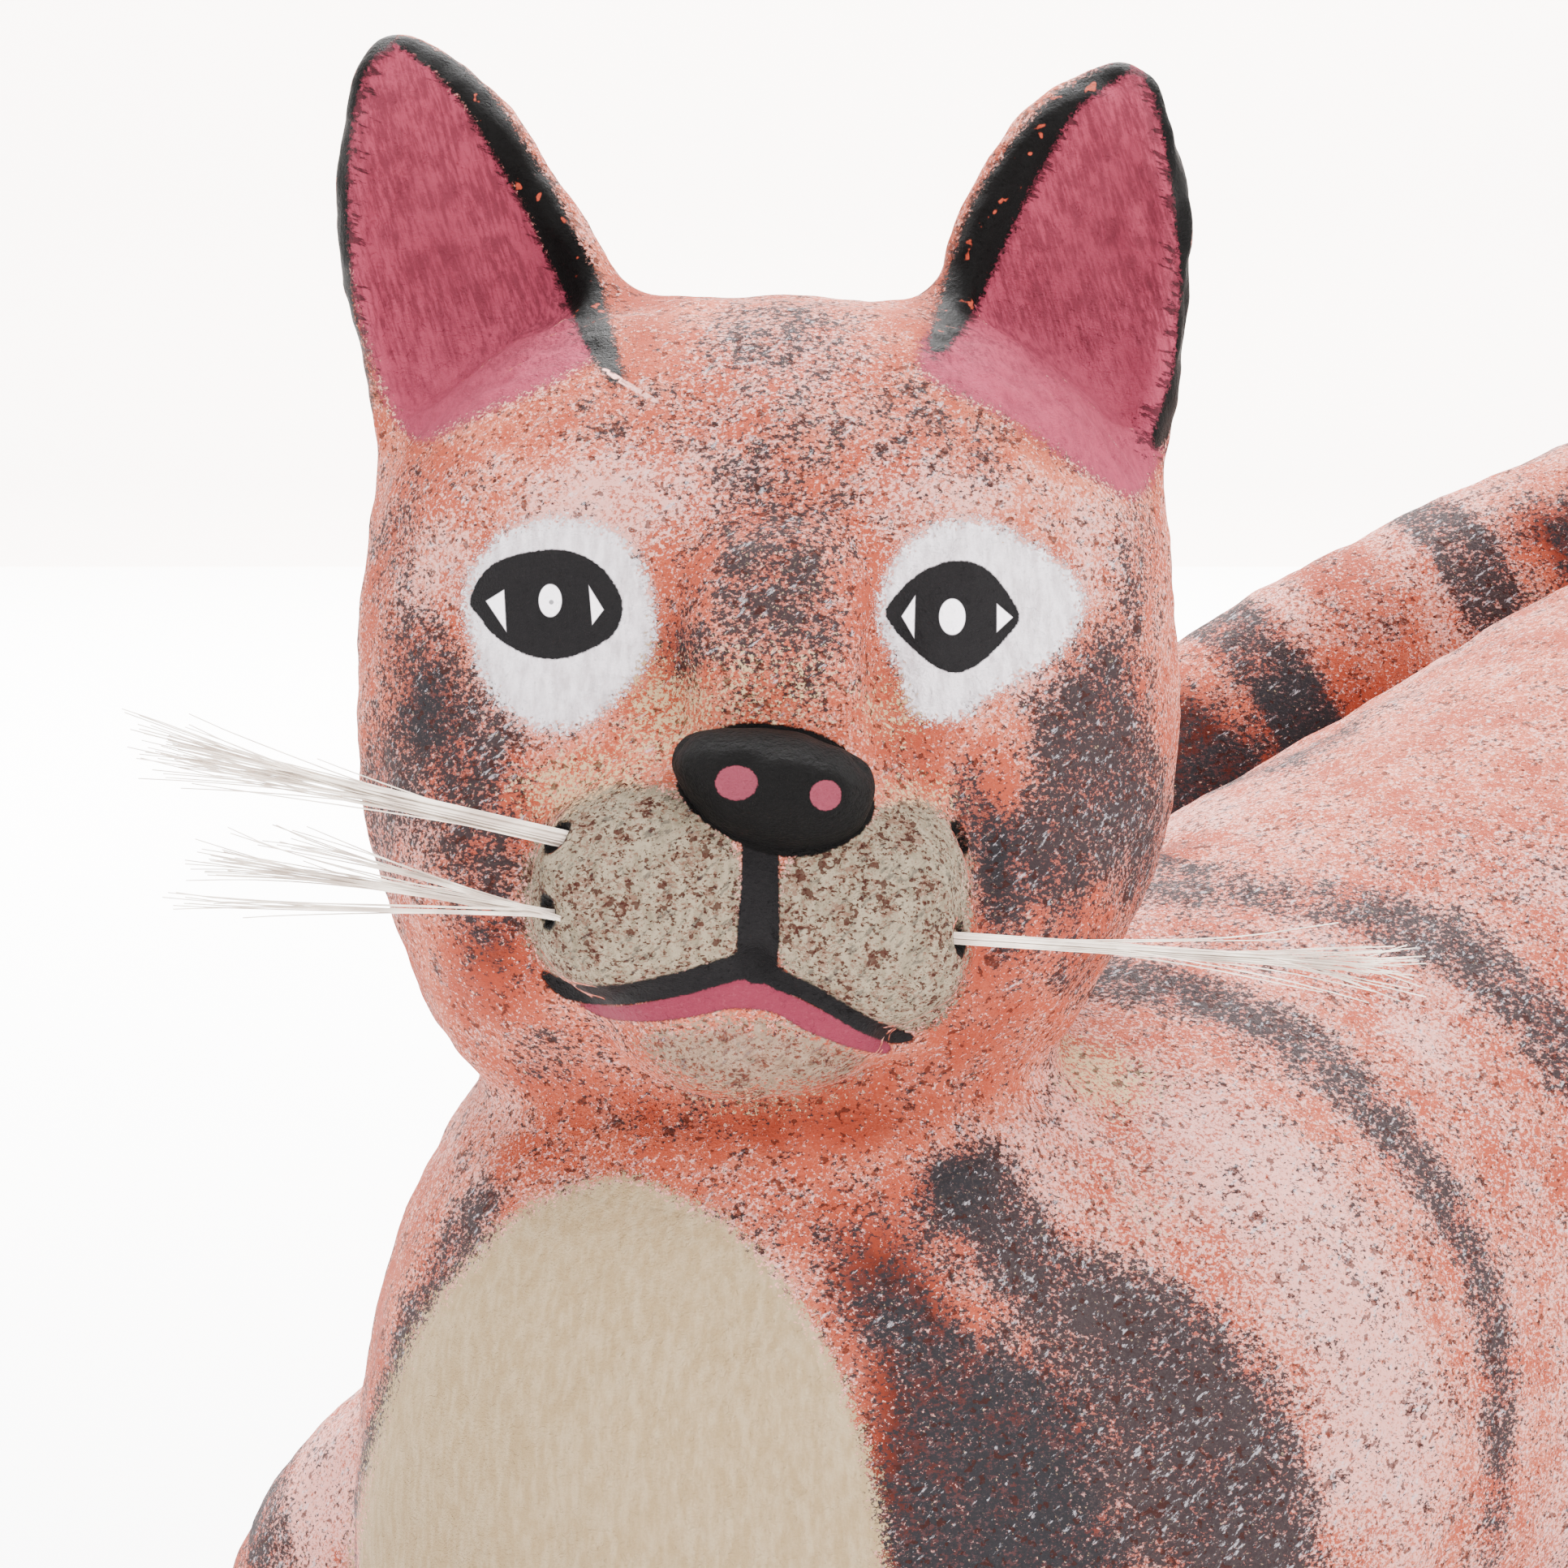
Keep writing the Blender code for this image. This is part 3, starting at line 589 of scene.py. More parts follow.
# deep red dabs on the face: painted shade in the creases beside the bridge, above the nose, beside
# the muzzle and under the chin and jaw, with some of the paint's own deeper red
EMBER_AND_SHADE_DABS = [
    (-33, 7, 4, 5, 0, 0.7), (-27, -17, 6, 7, 0, 0.85), (18.5, -19, 6, 8, 0, 0.95),
    (10, -29, 14, 4.5, 0, 0.95), (12, 3.5, 4, 5, 0, 0.75), (-10.2, 11, 2.5, 6, 0, 0.75),
    (-13, 45, 4.5, 6, 0, 0.8), (13.5, 46, 4, 6, 0, 0.8), (-33, 31, 8, 2.2, 10, 0.4),
    (26, 31, 9, 2.6, -20, 0.7), (-20, -29, 12, 4, 0, 0.75), (0, -32, 16, 4, 0, 0.8),
    (10, 9.5, 3, 4, 0, 0.7), (29, -15, 5, 8, 0, 0.6), (-5, 4.5, 10, 2, 0, 0.4),
    (19, -4, 3, 7, 0, 0.5),
]
# dabs on the body, figure millimetres: place, radius, strength
BODY_SLATE = [
    ((18, 12, 101), 6.5, 1.0), ((21, 12, 97), 6, 0.95), ((25, 13, 92), 6, 0.8),
    ((31, 14, 88), 7, 0.9), ((36, 15, 84), 8, 0.95), ((40, 15, 78), 9, 1.0),
    ((43, 15, 71), 9, 1.0), ((45, 15, 64), 9, 1.0), ((42, 15, 54), 10, 0.9),
    ((22, 6, 82), 9, 0.55), ((14, 2, 72), 10, 0.6), ((28, 8, 72), 11, 0.7),
    ((22, 4, 60), 13, 0.65), ((9, 4, 95), 8, 0.5), ((-4, 3, 100), 7, 0.35),
    ((14, 3, 86), 7, 0.5), ((-30, 18, 97), 6, 0.6), ((34, 26, 127), 7, 0.9),
    ((44, 60, 124), 8, 0.6),
]
# deep red on the body: painted shade on the neck under the jaw and on the tail where it lies
# against the back, with some of the paint's own deeper red
BODY_EMBER_AND_SHADE = [
    ((10, 3, 91), 8, 1.0), ((12, 2, 80), 10, 1.0), ((16, 2, 69), 12, 1.0), ((22, 5, 78), 9, 0.9),
    ((41, 83, 126), 5, 1.0), ((64, 162, 136), 9, 0.8), ((24, 5, 58), 14, 0.95),
    ((14, 14, 101), 6, 0.6), ((48, 150, 125), 12, 0.7), ((-8, 6, 99), 8, 0.5),
    ((-22, 14, 104), 8, 0.5), ((6, 6, 100), 7, 0.55),
]
BODY_PALE = [
    ((42, 32, 103), 11, 0.8), ((50, 29, 95), 11, 0.8), ((56, 26, 84), 11, 0.8),
    ((60, 25, 72), 11, 0.8), ((51, 19, 69), 7, 0.5), ((66, 54, 112), 10, 0.75),
    ((76, 80, 130), 16, 0.8), ((84, 62, 96), 12, 0.7), ((90, 100, 142), 14, 0.6),
    ((-49, 68, 60), 12, 0.8),
]
BODY_CREAM = [((30, 36, 108), 8, 0.8), ((34, 22, 98), 7, 0.35)]
STRIPES = [
    ([(33, 54, 116), (48, 48, 112), (61, 42, 101), (69, 39, 88), (71, 37, 69), (66, 42, 50)],
     4.2, 0.85),
    ([(33, 54, 116), (22, 64, 114), (10, 76, 108), (0, 84, 96), (-5, 88, 80)], 4.2, 0.7),
    ([(42, 73, 123), (57, 67, 122), (73, 62, 115), (82, 58, 103), (87, 58, 84), (84, 64, 66),
      (76, 72, 52)], 4.8, 0.85),
    ([(42, 73, 123), (32, 84, 121), (20, 98, 112), (12, 104, 98), (10, 108, 80)], 4.8, 0.75),
    ([(56, 103, 134), (71, 112, 141), (84, 101, 141), (97, 92, 134), (107, 84, 118),
      (110, 84, 98), (104, 90, 76)], 4.6, 0.8),
    ([(56, 103, 134), (48, 114, 126), (42, 124, 110), (42, 130, 92), (48, 132, 76)], 4.6, 0.7),
    ([(90, 138, 155), (106, 128, 158), (120, 116, 152), (133, 108, 138), (141, 104, 118),
      (144, 104, 96)], 4.8, 0.8),
    ([(90, 138, 155), (78, 148, 146), (70, 154, 128), (70, 158, 108)], 4.8, 0.75),
    ([(112, 158, 157), (128, 150, 158), (146, 140, 148), (158, 134, 130), (164, 132, 110)],
     4.5, 0.75),
    ([(112, 158, 157), (100, 166, 148), (88, 172, 132), (86, 176, 112)], 4.5, 0.7),
    ([(-32, 19, 97), (-38, 24, 80), (-42, 34, 66), (-44, 40, 54)], 3.2, 0.9),
]
TAIL_BAND_AT = (60, 161, 135)
TAIL_BAND_EVERY = 26.0
LEG_BAND_EVERY = 21.0
DAB_SHARPNESS = 1.4


def smooth_ring(loop, steps=4):
    """A closed loop, rounded."""
    fours = zip(np.roll(loop, 1, 0), loop, np.roll(loop, -1, 0), np.roll(loop, -2, 0))
    return np.array(catmull_rom(fours, steps))


def loop_distance(flat, loop, reach=9.0):
    """Distance of points to a rounded loop, less than nothing inside it."""
    ring = smooth_ring(loop)
    made = np.full(len(flat), reach)
    low, high = ring.min(0) - reach, ring.max(0) + reach
    use = np.flatnonzero(((flat > low) & (flat < high)).all(1))
    after = np.roll(ring, -1, 0)
    way = after - ring
    for part in np.array_split(use, len(use) // 20000 + 1):
        away = flat[part][:, None] - ring
        t = np.clip((away * way).sum(2) / (way**2).sum(1), 0, 1)
        near = np.sqrt(((away - t[..., None] * way) ** 2).sum(2)).min(1)
        y = flat[part][:, 1][:, None]
        crosses = (ring[:, 1] > y) != (after[:, 1] > y)
        rise = np.where(way[:, 1] == 0, 1e-9, way[:, 1])
        past = flat[part][:, 0][:, None] < ring[:, 0] + (y - ring[:, 1]) / rise * way[:, 0]
        inside = (crosses & past).sum(1) % 2 == 1
        made[part] = np.where(inside, -near, near)
    return np.minimum(made, reach)


def loops_distance(flat, loops):
    """Distance to the nearest of several loops."""
    return np.minimum.reduce([loop_distance(flat, loop) for loop in loops])


def stroke_distance(places, stroke):
    """Distance of places to a brush stroke whose last number is its half width."""
    rows = np.array(stroke, float)
    if len(rows) > 2:
        rows = smooth_stations(rows, 5)
    made = np.full(len(places), 1e9)
    for a, b in zip(rows, rows[1:]):
        way = b[:-1] - a[:-1]
        t = np.clip((places - a[:-1]) @ way / max(way @ way, 1e-9), 0, 1)
        away = np.linalg.norm(places - a[:-1] - t[:, None] * way, axis=1)
        made = np.minimum(made, away - a[-1] - t * (b[-1] - a[-1]))
    return made


def ripple(points, wavelength, seed, count=16):
    """Gentle waves of about one wavelength, in no special direction."""
    rng = np.random.default_rng(seed)
    waves = rng.normal(size=(count, points.shape[1]))
    waves /= np.linalg.norm(waves, axis=1)[:, None]
    waves *= 2 * np.pi / wavelength * rng.uniform(0.7, 1.4, (count, 1))
    phase = rng.uniform(0, 2 * np.pi, count)
    return np.sin(points @ waves.T + phase).sum(1) / math.sqrt(count / 2)


def ramp(value, low, high):
    """0 below low, 1 above high, and smooth between."""
    t = np.clip((value - low) / (high - low), 0, 1)
    return t * t * (3 - 2 * t)


def within_oval(flat, x, y, wide, high, turn=0):
    """Squared distance from an oval's centre, 1 on its edge."""
    c, s = math.cos(math.radians(turn)), math.sin(math.radians(turn))
    dx, dy = flat[:, 0] - x, flat[:, 1] - y
    return ((dx * c + dy * s) / wide) ** 2 + ((dy * c - dx * s) / high) ** 2


def dabbed(made, strength, q):
    """The cover of a surface after one more soft dab."""
    return 1 - (1 - made) * (1 - strength * np.exp(-(q**DAB_SHARPNESS)))


def flat_dabs(flat, dabs):
    """How strongly soft dabs cover points on the face's plane."""
    made = np.zeros(len(flat))
    for *oval, strength in dabs:
        made = dabbed(made, strength, within_oval(flat, *oval))
    return made


def solid_dabs(points, dabs):
    """How strongly soft dabs cover points on the body."""
    made = np.zeros(len(points))
    for place, radius, strength in dabs:
        made = dabbed(made, strength, ((points - np.array(place)) ** 2).sum(1) / radius**2)
    return made


def surface_point(across, height):
    """The place on the face that the painter sees there, in figure millimetres."""
    depth = -20.0
    for _ in range(60):
        scale = 1 + depth / PAINTER_DISTANCE
        place = head_to_figure([[across * scale, depth, height * scale]])
        gap = float(near_distance(place, place[0], 0.1)[0])
        depth += max(gap, 0.0) * 0.8
    return place[0]


ROOTS = {name: surface_point(*spot) for name, spot in WHISKER_ROOTS.items()}

# ---------------------------------------------------------------- sculpting
# across, height, half widths, turn, millimetres out of the surface
FACE_RELIEF = [
    (-22.0, 16.5, 9.5, 7, 0, -1.3), (16.5, 15.5, 9.5, 7, 0, -1.3),
    (-21.5, 27.5, 11, 3.6, 6, 0.8), (17.0, 27.0, 11, 3.6, -8, 0.8),
    (-11.2, 10, 2.2, 8, 8, -1.2), (9.6, 9.5, 2.2, 8, -10, -1.2),
    (-24.6, -8, 1.8, 8, 0, -0.9), (18.0, -9, 1.8, 9, 0, -0.9),
    (-1.0, -3.2, 9, 3.5, 0, 0.2), (-13, -25.2, 5, 1.6, 0, -0.5), (10, -27, 4, 1.5, 25, -0.5),
]
TOE_GAP = 6.3
TOE_DEPTH = 1.3
NOSTRIL_DEPTH = 0.4
GROOVE_DEPTH = 0.55
LIP_HEIGHT = 0.55
HOLE_DEPTH = 1.8
HOLE_RADIUS = 1.25
SANDED, SCRATCHED = 0.14, 0.05


def facing(normals):
    """How far a surface faces the painter, from 0 to 1."""
    return ramp(normals @ np.array([0, -COS, SIN]), 0.02, 0.3)


def relief(points, normals):
    """How far the knife and the sandpaper leave the surface from its true form."""
    head = figure_to_head(points)
    flat = seen(head)
    front = facing(normals) * (head[:, 1] < 48) * (head[:, 2] > -34)
    out = SANDED * ripple(points, 11.0, 5) + SCRATCHED * ripple(points, 3.6, 6)
    for *oval, height in FACE_RELIEF:
        out += front * height * np.exp(-within_oval(flat, *oval))
    near_nose = ramp(nose_distance(head), 0.2, 1.4)
    for stroke in MOUTH:
        gap = stroke_distance(flat, stroke)
        out -= front * near_nose * GROOVE_DEPTH * np.exp(-np.maximum(gap + 0.7, 0) ** 2 / 0.5)
    lip = loop_distance(flat, LIP)
    out += front * LIP_HEIGHT * np.exp(-np.maximum(lip + 0.5, 0) ** 2 / 0.9)
    for spot, size in NOSTRILS:
        out -= front * NOSTRIL_DEPTH * np.exp(-(within_oval(flat, *spot, *size) ** 1.5))
    for root in ROOTS.values():
        gap = np.linalg.norm(points - root, axis=1)
        out -= HOLE_DEPTH * np.exp(-((gap / HOLE_RADIUS) ** 4))
    bowl = np.maximum(-loops_distance(flat, ROSES), 0)
    out += facing(normals) * ramp(bowl, 0, 2) * 0.12 * ripple(head * (1, 1, 0.3), 2.6, 8)
    for stations in LEGS:
        near = np.linalg.norm(points - np.array(stations[-1][:3]), axis=1) < 30
        foot = turned(points[near], stations[-1][:3], toe_turn(stations))
        across = (foot[:, 0] + TOE_GAP / 2) % TOE_GAP - TOE_GAP / 2
        across = np.where(np.abs(foot[:, 0]) < TOE_GAP * 1.4, across, TOE_GAP)
        deep = ramp(-foot[:, 1], -1, 8) * ramp(points[near, 2], 0.5, 3)
        out[near] -= TOE_DEPTH * deep * np.exp(-((across / 0.9) ** 2))
        round_toe = np.cos(foot[:, 0] / TOE_GAP * 2 * np.pi)
        out[near] -= 0.5 * deep * round_toe * (np.abs(foot[:, 0]) < TOE_GAP * 1.9)
    return out


# ---------------------------------------------------------------- blocks
# point on the seam, way across it, seam radius
BODY_SEAMS = [
    ((-3, 37, 109.5), (-0.05, -0.34, 1), 50),
    ((144, 179.5, 142), (0.41, 0.70, 0.59), 24),
    ((39, 16, 14), (-0.28, -0.95, -0.12), 20),
    ((-52, 46, 14), (-0.27, -0.95, -0.12), 20),
    ((141.2, 111.6, 45.6), (0.40, 0.21, -0.90), 22),
    ((103.3, 165.5, 45.6), (0.40, 0.21, -0.90), 22),
]
EAR_SEAMS = [((-30, 38, 44.4), (-0.30, 0, 0.954), 22), ((29, 38, 44.2), (0.24, 0, 0.97), 22)]
BODY_BLOCKS = {
    "torso": (60, 46, 82),
    "front_left_leg": (22, -44, 22),
    "front_right_leg": (-65, -4, 24),
    "hind_left_leg": (149, 117, 39),
    "hind_right_leg": (111, 171, 39),
    "tail": (53, 172, 143),
}
HEAD_BLOCKS = {
    "head": head_to_figure((-2, 5, 30)),
    "right_ear": head_to_figure((-32, 40, 60)),
    "left_ear": head_to_figure((28, 40, 60)),
}
TAIL_TENON_RADIUS = 6.0
TAIL_TENON_LENGTH = 22.0
TAIL_TENON_GAP = 0.3


def unit(vector):
    """A vector of length 1."""
    return np.array(vector, float) / np.linalg.norm(vector)


def cut_seams(mesh, seams):
    """Cuts a skin along each seam, so that the blocks come apart."""
    bm = bmesh.new()
    bm.from_mesh(mesh)
    bm.verts.ensure_lookup_table()
    places = points_of(mesh)
    for centre, across, radius in seams:
        near = np.linalg.norm(places - np.array(centre), axis=1) < radius
        verts = [bm.verts[i] for i in np.flatnonzero(near)]
        faces = {face for vert in verts for face in vert.link_faces}
        faces = [face for face in faces if all(v.index >= 0 and near[v.index] for v in face.verts)]
        edges = {edge for face in faces for edge in face.edges}
        cut = bmesh.ops.bisect_plane(
            bm,
            geom=verts + list(edges) + faces,
            plane_co=Vector(to_row(centre)),
            plane_no=Vector(unit(across)),
            dist=1e-6,
        )["geom_cut"]
        edges = [item for item in cut if isinstance(item, bmesh.types.BMEdge)]
        bmesh.ops.split_edges(bm, edges=edges)
        bm.verts.index_update()
        bm.verts.ensure_lookup_table()
        flat = np.array([v.co for v in bm.verts])
        places = from_row(flat)
    bm.to_mesh(mesh)
    bm.free()


def cap_holes(mesh):
    """Closes a block where it was cut, with a sharp edge round each cut."""
    bm = bmesh.new()
    bm.from_mesh(mesh)
    rims = [edge for edge in bm.edges if edge.is_boundary]
    made = bmesh.ops.holes_fill(bm, edges=rims, sides=0)["faces"]
    for edge in rims:
        edge.smooth = False
    for face in made:
        face.material_index = 1
    bmesh.ops.triangulate(bm, faces=made)
    bmesh.ops.recalc_face_normals(bm, faces=bm.faces)
    for face in bm.faces:
        face.smooth = True
    bm.to_mesh(mesh)
    bm.free()


def take_blocks(mesh, seams, blocks):
    """Cuts a skin at its seams and returns the named blocks as objects."""
    cut_seams(mesh, seams)
    whole = bpy.data.objects.new("skin", mesh)
    bpy.context.collection.objects.link(whole)
    for other in bpy.context.selected_objects:
        other.select_set(False)
    whole.select_set(True)
    bpy.context.view_layer.objects.active = whole
    bpy.ops.mesh.separate(type="LOOSE")
    loose = list(bpy.context.selected_objects)
    found = {}
    clouds = {piece: points_of(piece.data) for piece in loose if len(piece.data.vertices) > 500}
    for name, point in blocks.items():
        gaps = {
            piece: np.linalg.norm(cloud - np.array(point), axis=1).min()
            for piece, cloud in clouds.items()
        }
        found[name] = min(gaps, key=gaps.get)
    assert len(set(found.values())) == len(found), "two blocks are still joined"
    for piece in loose:
        if piece not in found.values():
            old = piece.data
            bpy.data.objects.remove(piece)
            bpy.data.meshes.remove(old)
    for name, piece in found.items():
        piece.name = piece.data.name = name + "_skin"
        cap_holes(piece.data)
    return found


def rod(name, start, end, radius, sides=40):
    """A plain round rod between two places in figure millimetres."""
    start, end = Vector(to_row(start)), Vector(to_row(end))
    bm = bmesh.new()
    turn = (end - start).to_track_quat("Z", "Y").to_matrix().to_4x4()
    bmesh.ops.create_cone(
        bm,
        cap_ends=True,
        segments=sides,
        radius1=radius * MM,
        radius2=radius * MM,
        depth=(end - start).length,
        matrix=Matrix.Translation((start + end) / 2) @ turn,
    )
    for face in bm.faces:
        face.material_index = 1
    mesh = bpy.data.meshes.new(name)
    bm.to_mesh(mesh)
    bm.free()
    piece = bpy.data.objects.new(name, mesh)
    bpy.context.collection.objects.link(piece)
    return piece


def combine(piece, tool, operation):
    """Joins a tool to a piece or cuts it away, and removes the tool."""
    boolean = piece.modifiers.new("shape", "BOOLEAN")
    boolean.operation = operation
    boolean.solver = "MANIFOLD"
    boolean.object = tool
    graph = bpy.context.evaluated_depsgraph_get()
    made = bpy.data.meshes.new_from_object(piece.evaluated_get(graph))
    piece.modifiers.clear()
    old = piece.data
    piece.data = made
    bpy.data.meshes.remove(old)
    bpy.data.objects.remove(tool)


# ---------------------------------------------------------------- paint on the skin
# heights between which the body's dabs give way to the face's, and their rise with y
HEAD_EDGE = (110, 116)
HEAD_EDGE_SLOPE = 0.34


def store(mesh, name, values):
    """Keeps one number for each point of a mesh."""
    layer = mesh.attributes.new(name, "FLOAT", "POINT")
    layer.data.foreach_set("value", np.asarray(values, np.float32))


def store_vectors(mesh, name, values):
    """Keeps three numbers for each point of a mesh."""
    layer = mesh.attributes.new(name, "FLOAT_VECTOR", "POINT")
    layer.data.foreach_set("vector", np.asarray(values, np.float32).ravel())


def paint_body(mesh, points, normals):
    """The soft dabs, stripes and bands that cover the whole figure."""
    head = figure_to_head(points)
    flat = seen(head)
    front = facing(normals)
    on_head = ramp(points[:, 2] - HEAD_EDGE_SLOPE * (points[:, 1] - 37), *HEAD_EDGE)
    face = on_head * front
    slate = np.maximum(solid_dabs(points, BODY_SLATE) * 1.15, 0.22)
    pale = np.maximum(solid_dabs(points, BODY_PALE), 0.48)
    cream = solid_dabs(points, BODY_CREAM)
    # deep red cover, partly painted shade under the jaw and the tail; the stripe fringes and tail
    # bands below are the paint's own
    ember_and_shade = solid_dabs(points, BODY_EMBER_AND_SHADE)
    for stroke, half, strength in STRIPES:
        halves = half * np.linspace(1.1, 0.45, len(stroke))
        gap = stroke_distance(points, [(*p, h) for p, h in zip(stroke, halves)])
        slate = np.maximum(slate, strength * ramp(-gap, -4.0, 2.8))
        ember_and_shade = np.maximum(ember_and_shade, 0.35 * np.exp(-(((gap - 4) / 3) ** 2)))
    tail, along = TUBES["tail"].measure(points)
    _, start = TUBES["tail"].measure(np.array([TAIL_BAND_AT], float))
    turns = np.cos((along - start[0]) / TAIL_BAND_EVERY * 2 * np.pi)
    on_tail = ramp(-tail, -3.5, -1.5)
    slate = np.maximum(slate, on_tail * 0.85 * ramp(turns, 0.25, 0.85))
    ember_and_shade = np.maximum(ember_and_shade, on_tail * 0.7 * ramp(-turns, -0.2, 0.9))
    slate = np.maximum(slate, on_tail * ramp(along, along.max() - 24, along.max() - 8))
    for tube in LEG_TUBES:
        leg, reach = tube.measure(points)
        on_leg = ramp(-leg, -3.5, -1.5) * ramp(reach, 26, 40) * (1 - on_head)
        turns = np.cos(reach / LEG_BAND_EVERY * 2 * np.pi)
        slate = np.maximum(slate, on_leg * 0.7 * ramp(turns, 0.3, 0.9))
    x, y, z = points.T
    unseen = np.maximum(ramp(y, 62, 100), ramp(-x, 25, 45)) * (1 - on_head) + on_head
    swell = np.sin(x / 15 + z / 21) * np.sin(y / 17 + 1.3) + np.sin(z / 13 - y / 25 + x / 40)
    swirl = np.sin(x / 11 - y / 19 + 2) * np.sin(z / 12 + 0.7)
    pale += unseen * (0.22 * swell - 0.12)
    ember_and_shade += unseen * (1 - on_head) * np.clip(-0.35 * swell + 0.3 * swirl, 0, 0.6)
    slate += unseen * np.clip(0.55 * swirl - 0.08, 0, 0.5)
    slate = slate * (1 - on_head) + on_head * (0.4 + 0.25 * swirl)
    pale = pale * (1 - on_head) + on_head * 0.3
    cream *= 1 - on_head
    ember_and_shade *= 1 - on_head
    slate += face * (np.minimum(flat_dabs(flat, SLATE_DABS) * 1.15 + 0.12, 1) - slate)
    pale += face * (np.maximum(flat_dabs(flat, PALE_DABS), 0.2) - pale)
    cream += face * (flat_dabs(flat, CREAM_DABS) - cream)
    # on the face the deep red is mostly painted shade in the creases and under the chin
    ember_and_shade += face * (flat_dabs(flat, EMBER_AND_SHADE_DABS) - ember_and_shade)
    pale *= 1 - 0.65 * ember_and_shade
    store(mesh, "slate", slate)
    store(mesh, "pale", pale)
    store(mesh, "cream", cream)
    store(mesh, "ember_and_shade", ember_and_shade)
    chest = loop_distance(flat, CHEST)
    chest = np.where(head[:, 1] < 70, chest, 9) + 9 * (1 - ramp(front, 0.0, 0.5))
    store(mesh, "chest", chest)


def paint_face(mesh, points, normals):
    """The painted features of the face and ears, as distances to their edges."""
    head = figure_to_head(points)
    flat = seen(head)
    front = facing(normals)
    away = 9 * (1 - ramp(front, 0.0, 0.4)) + np.where(head[:, 1] < 60, 0, 9)
    store_vectors(mesh, "face_place", np.column_stack([flat, front]))
    store(mesh, "eye_white", loops_distance(flat, EYE_WHITES) + away)
    store(mesh, "eye_black", loops_distance(flat, EYE_BLACKS) + away)
    strokes = [stroke_distance(flat, stroke) for stroke in MOUTH]
    store(mesh, "mouth", np.minimum.reduce(strokes) + away)
    store(mesh, "lip", loop_distance(flat, LIP) + away)
    store(mesh, "muzzle", loops_distance(flat, MUZZLES) + away)
    store(mesh, "chin", loop_distance(flat, CHIN) + away)
    store(mesh, "nose", nose_distance(head))
    gaps = [np.linalg.norm(points - root, axis=1) for root in ROOTS.values()]
    store(mesh, "hole", np.minimum.reduce(gaps))
    store(mesh, "rose", loops_distance(flat, ROSES) + away)
    bands = [stroke_distance(flat, stroke) for stroke in EAR_BANDS]
    lines = [stroke_distance(flat, stroke) for stroke in EAR_LINES]
    behind = 9 * (1 - ramp(front, -0.1, 0.1))
    store(mesh, "ear_band", np.minimum.reduce(bands) + away)
    store(mesh, "ear_line", np.minimum.reduce(lines) + behind)
    store(mesh, "bristle", stroke_distance(flat, BRISTLE) + away)


# ---------------------------------------------------------------- materials
def colour(red, green, blue):
    """A linear colour from screen values of 0 to 255."""
    rows = [value / 255 for value in (red, green, blue)]
    rows = [v / 12.92 if v <= 0.04045 else ((v + 0.055) / 1.055) ** 2.4 for v in rows]
    return (*rows, 1.0)


class Value:
    """A number flowing through a material's nodes, so that sums read as sums."""

    def __init__(self, graph, socket):
        self.graph, self.socket = graph, socket

    def __radd__(self, other):
        return self.graph.math("ADD", other, self)

    def __rsub__(self, other):
        return self.graph.math("SUBTRACT", other, self)

    def __rmul__(self, other):
        return self.graph.math("MULTIPLY", other, self)


for sign, operation in (
    ("__add__", "ADD"),
    ("__sub__", "SUBTRACT"),
    ("__mul__", "MULTIPLY"),
    ("__truediv__", "DIVIDE"),
):
    setattr(Value, sign, lambda a, b, operation=operation: a.graph.math(operation, a, b))


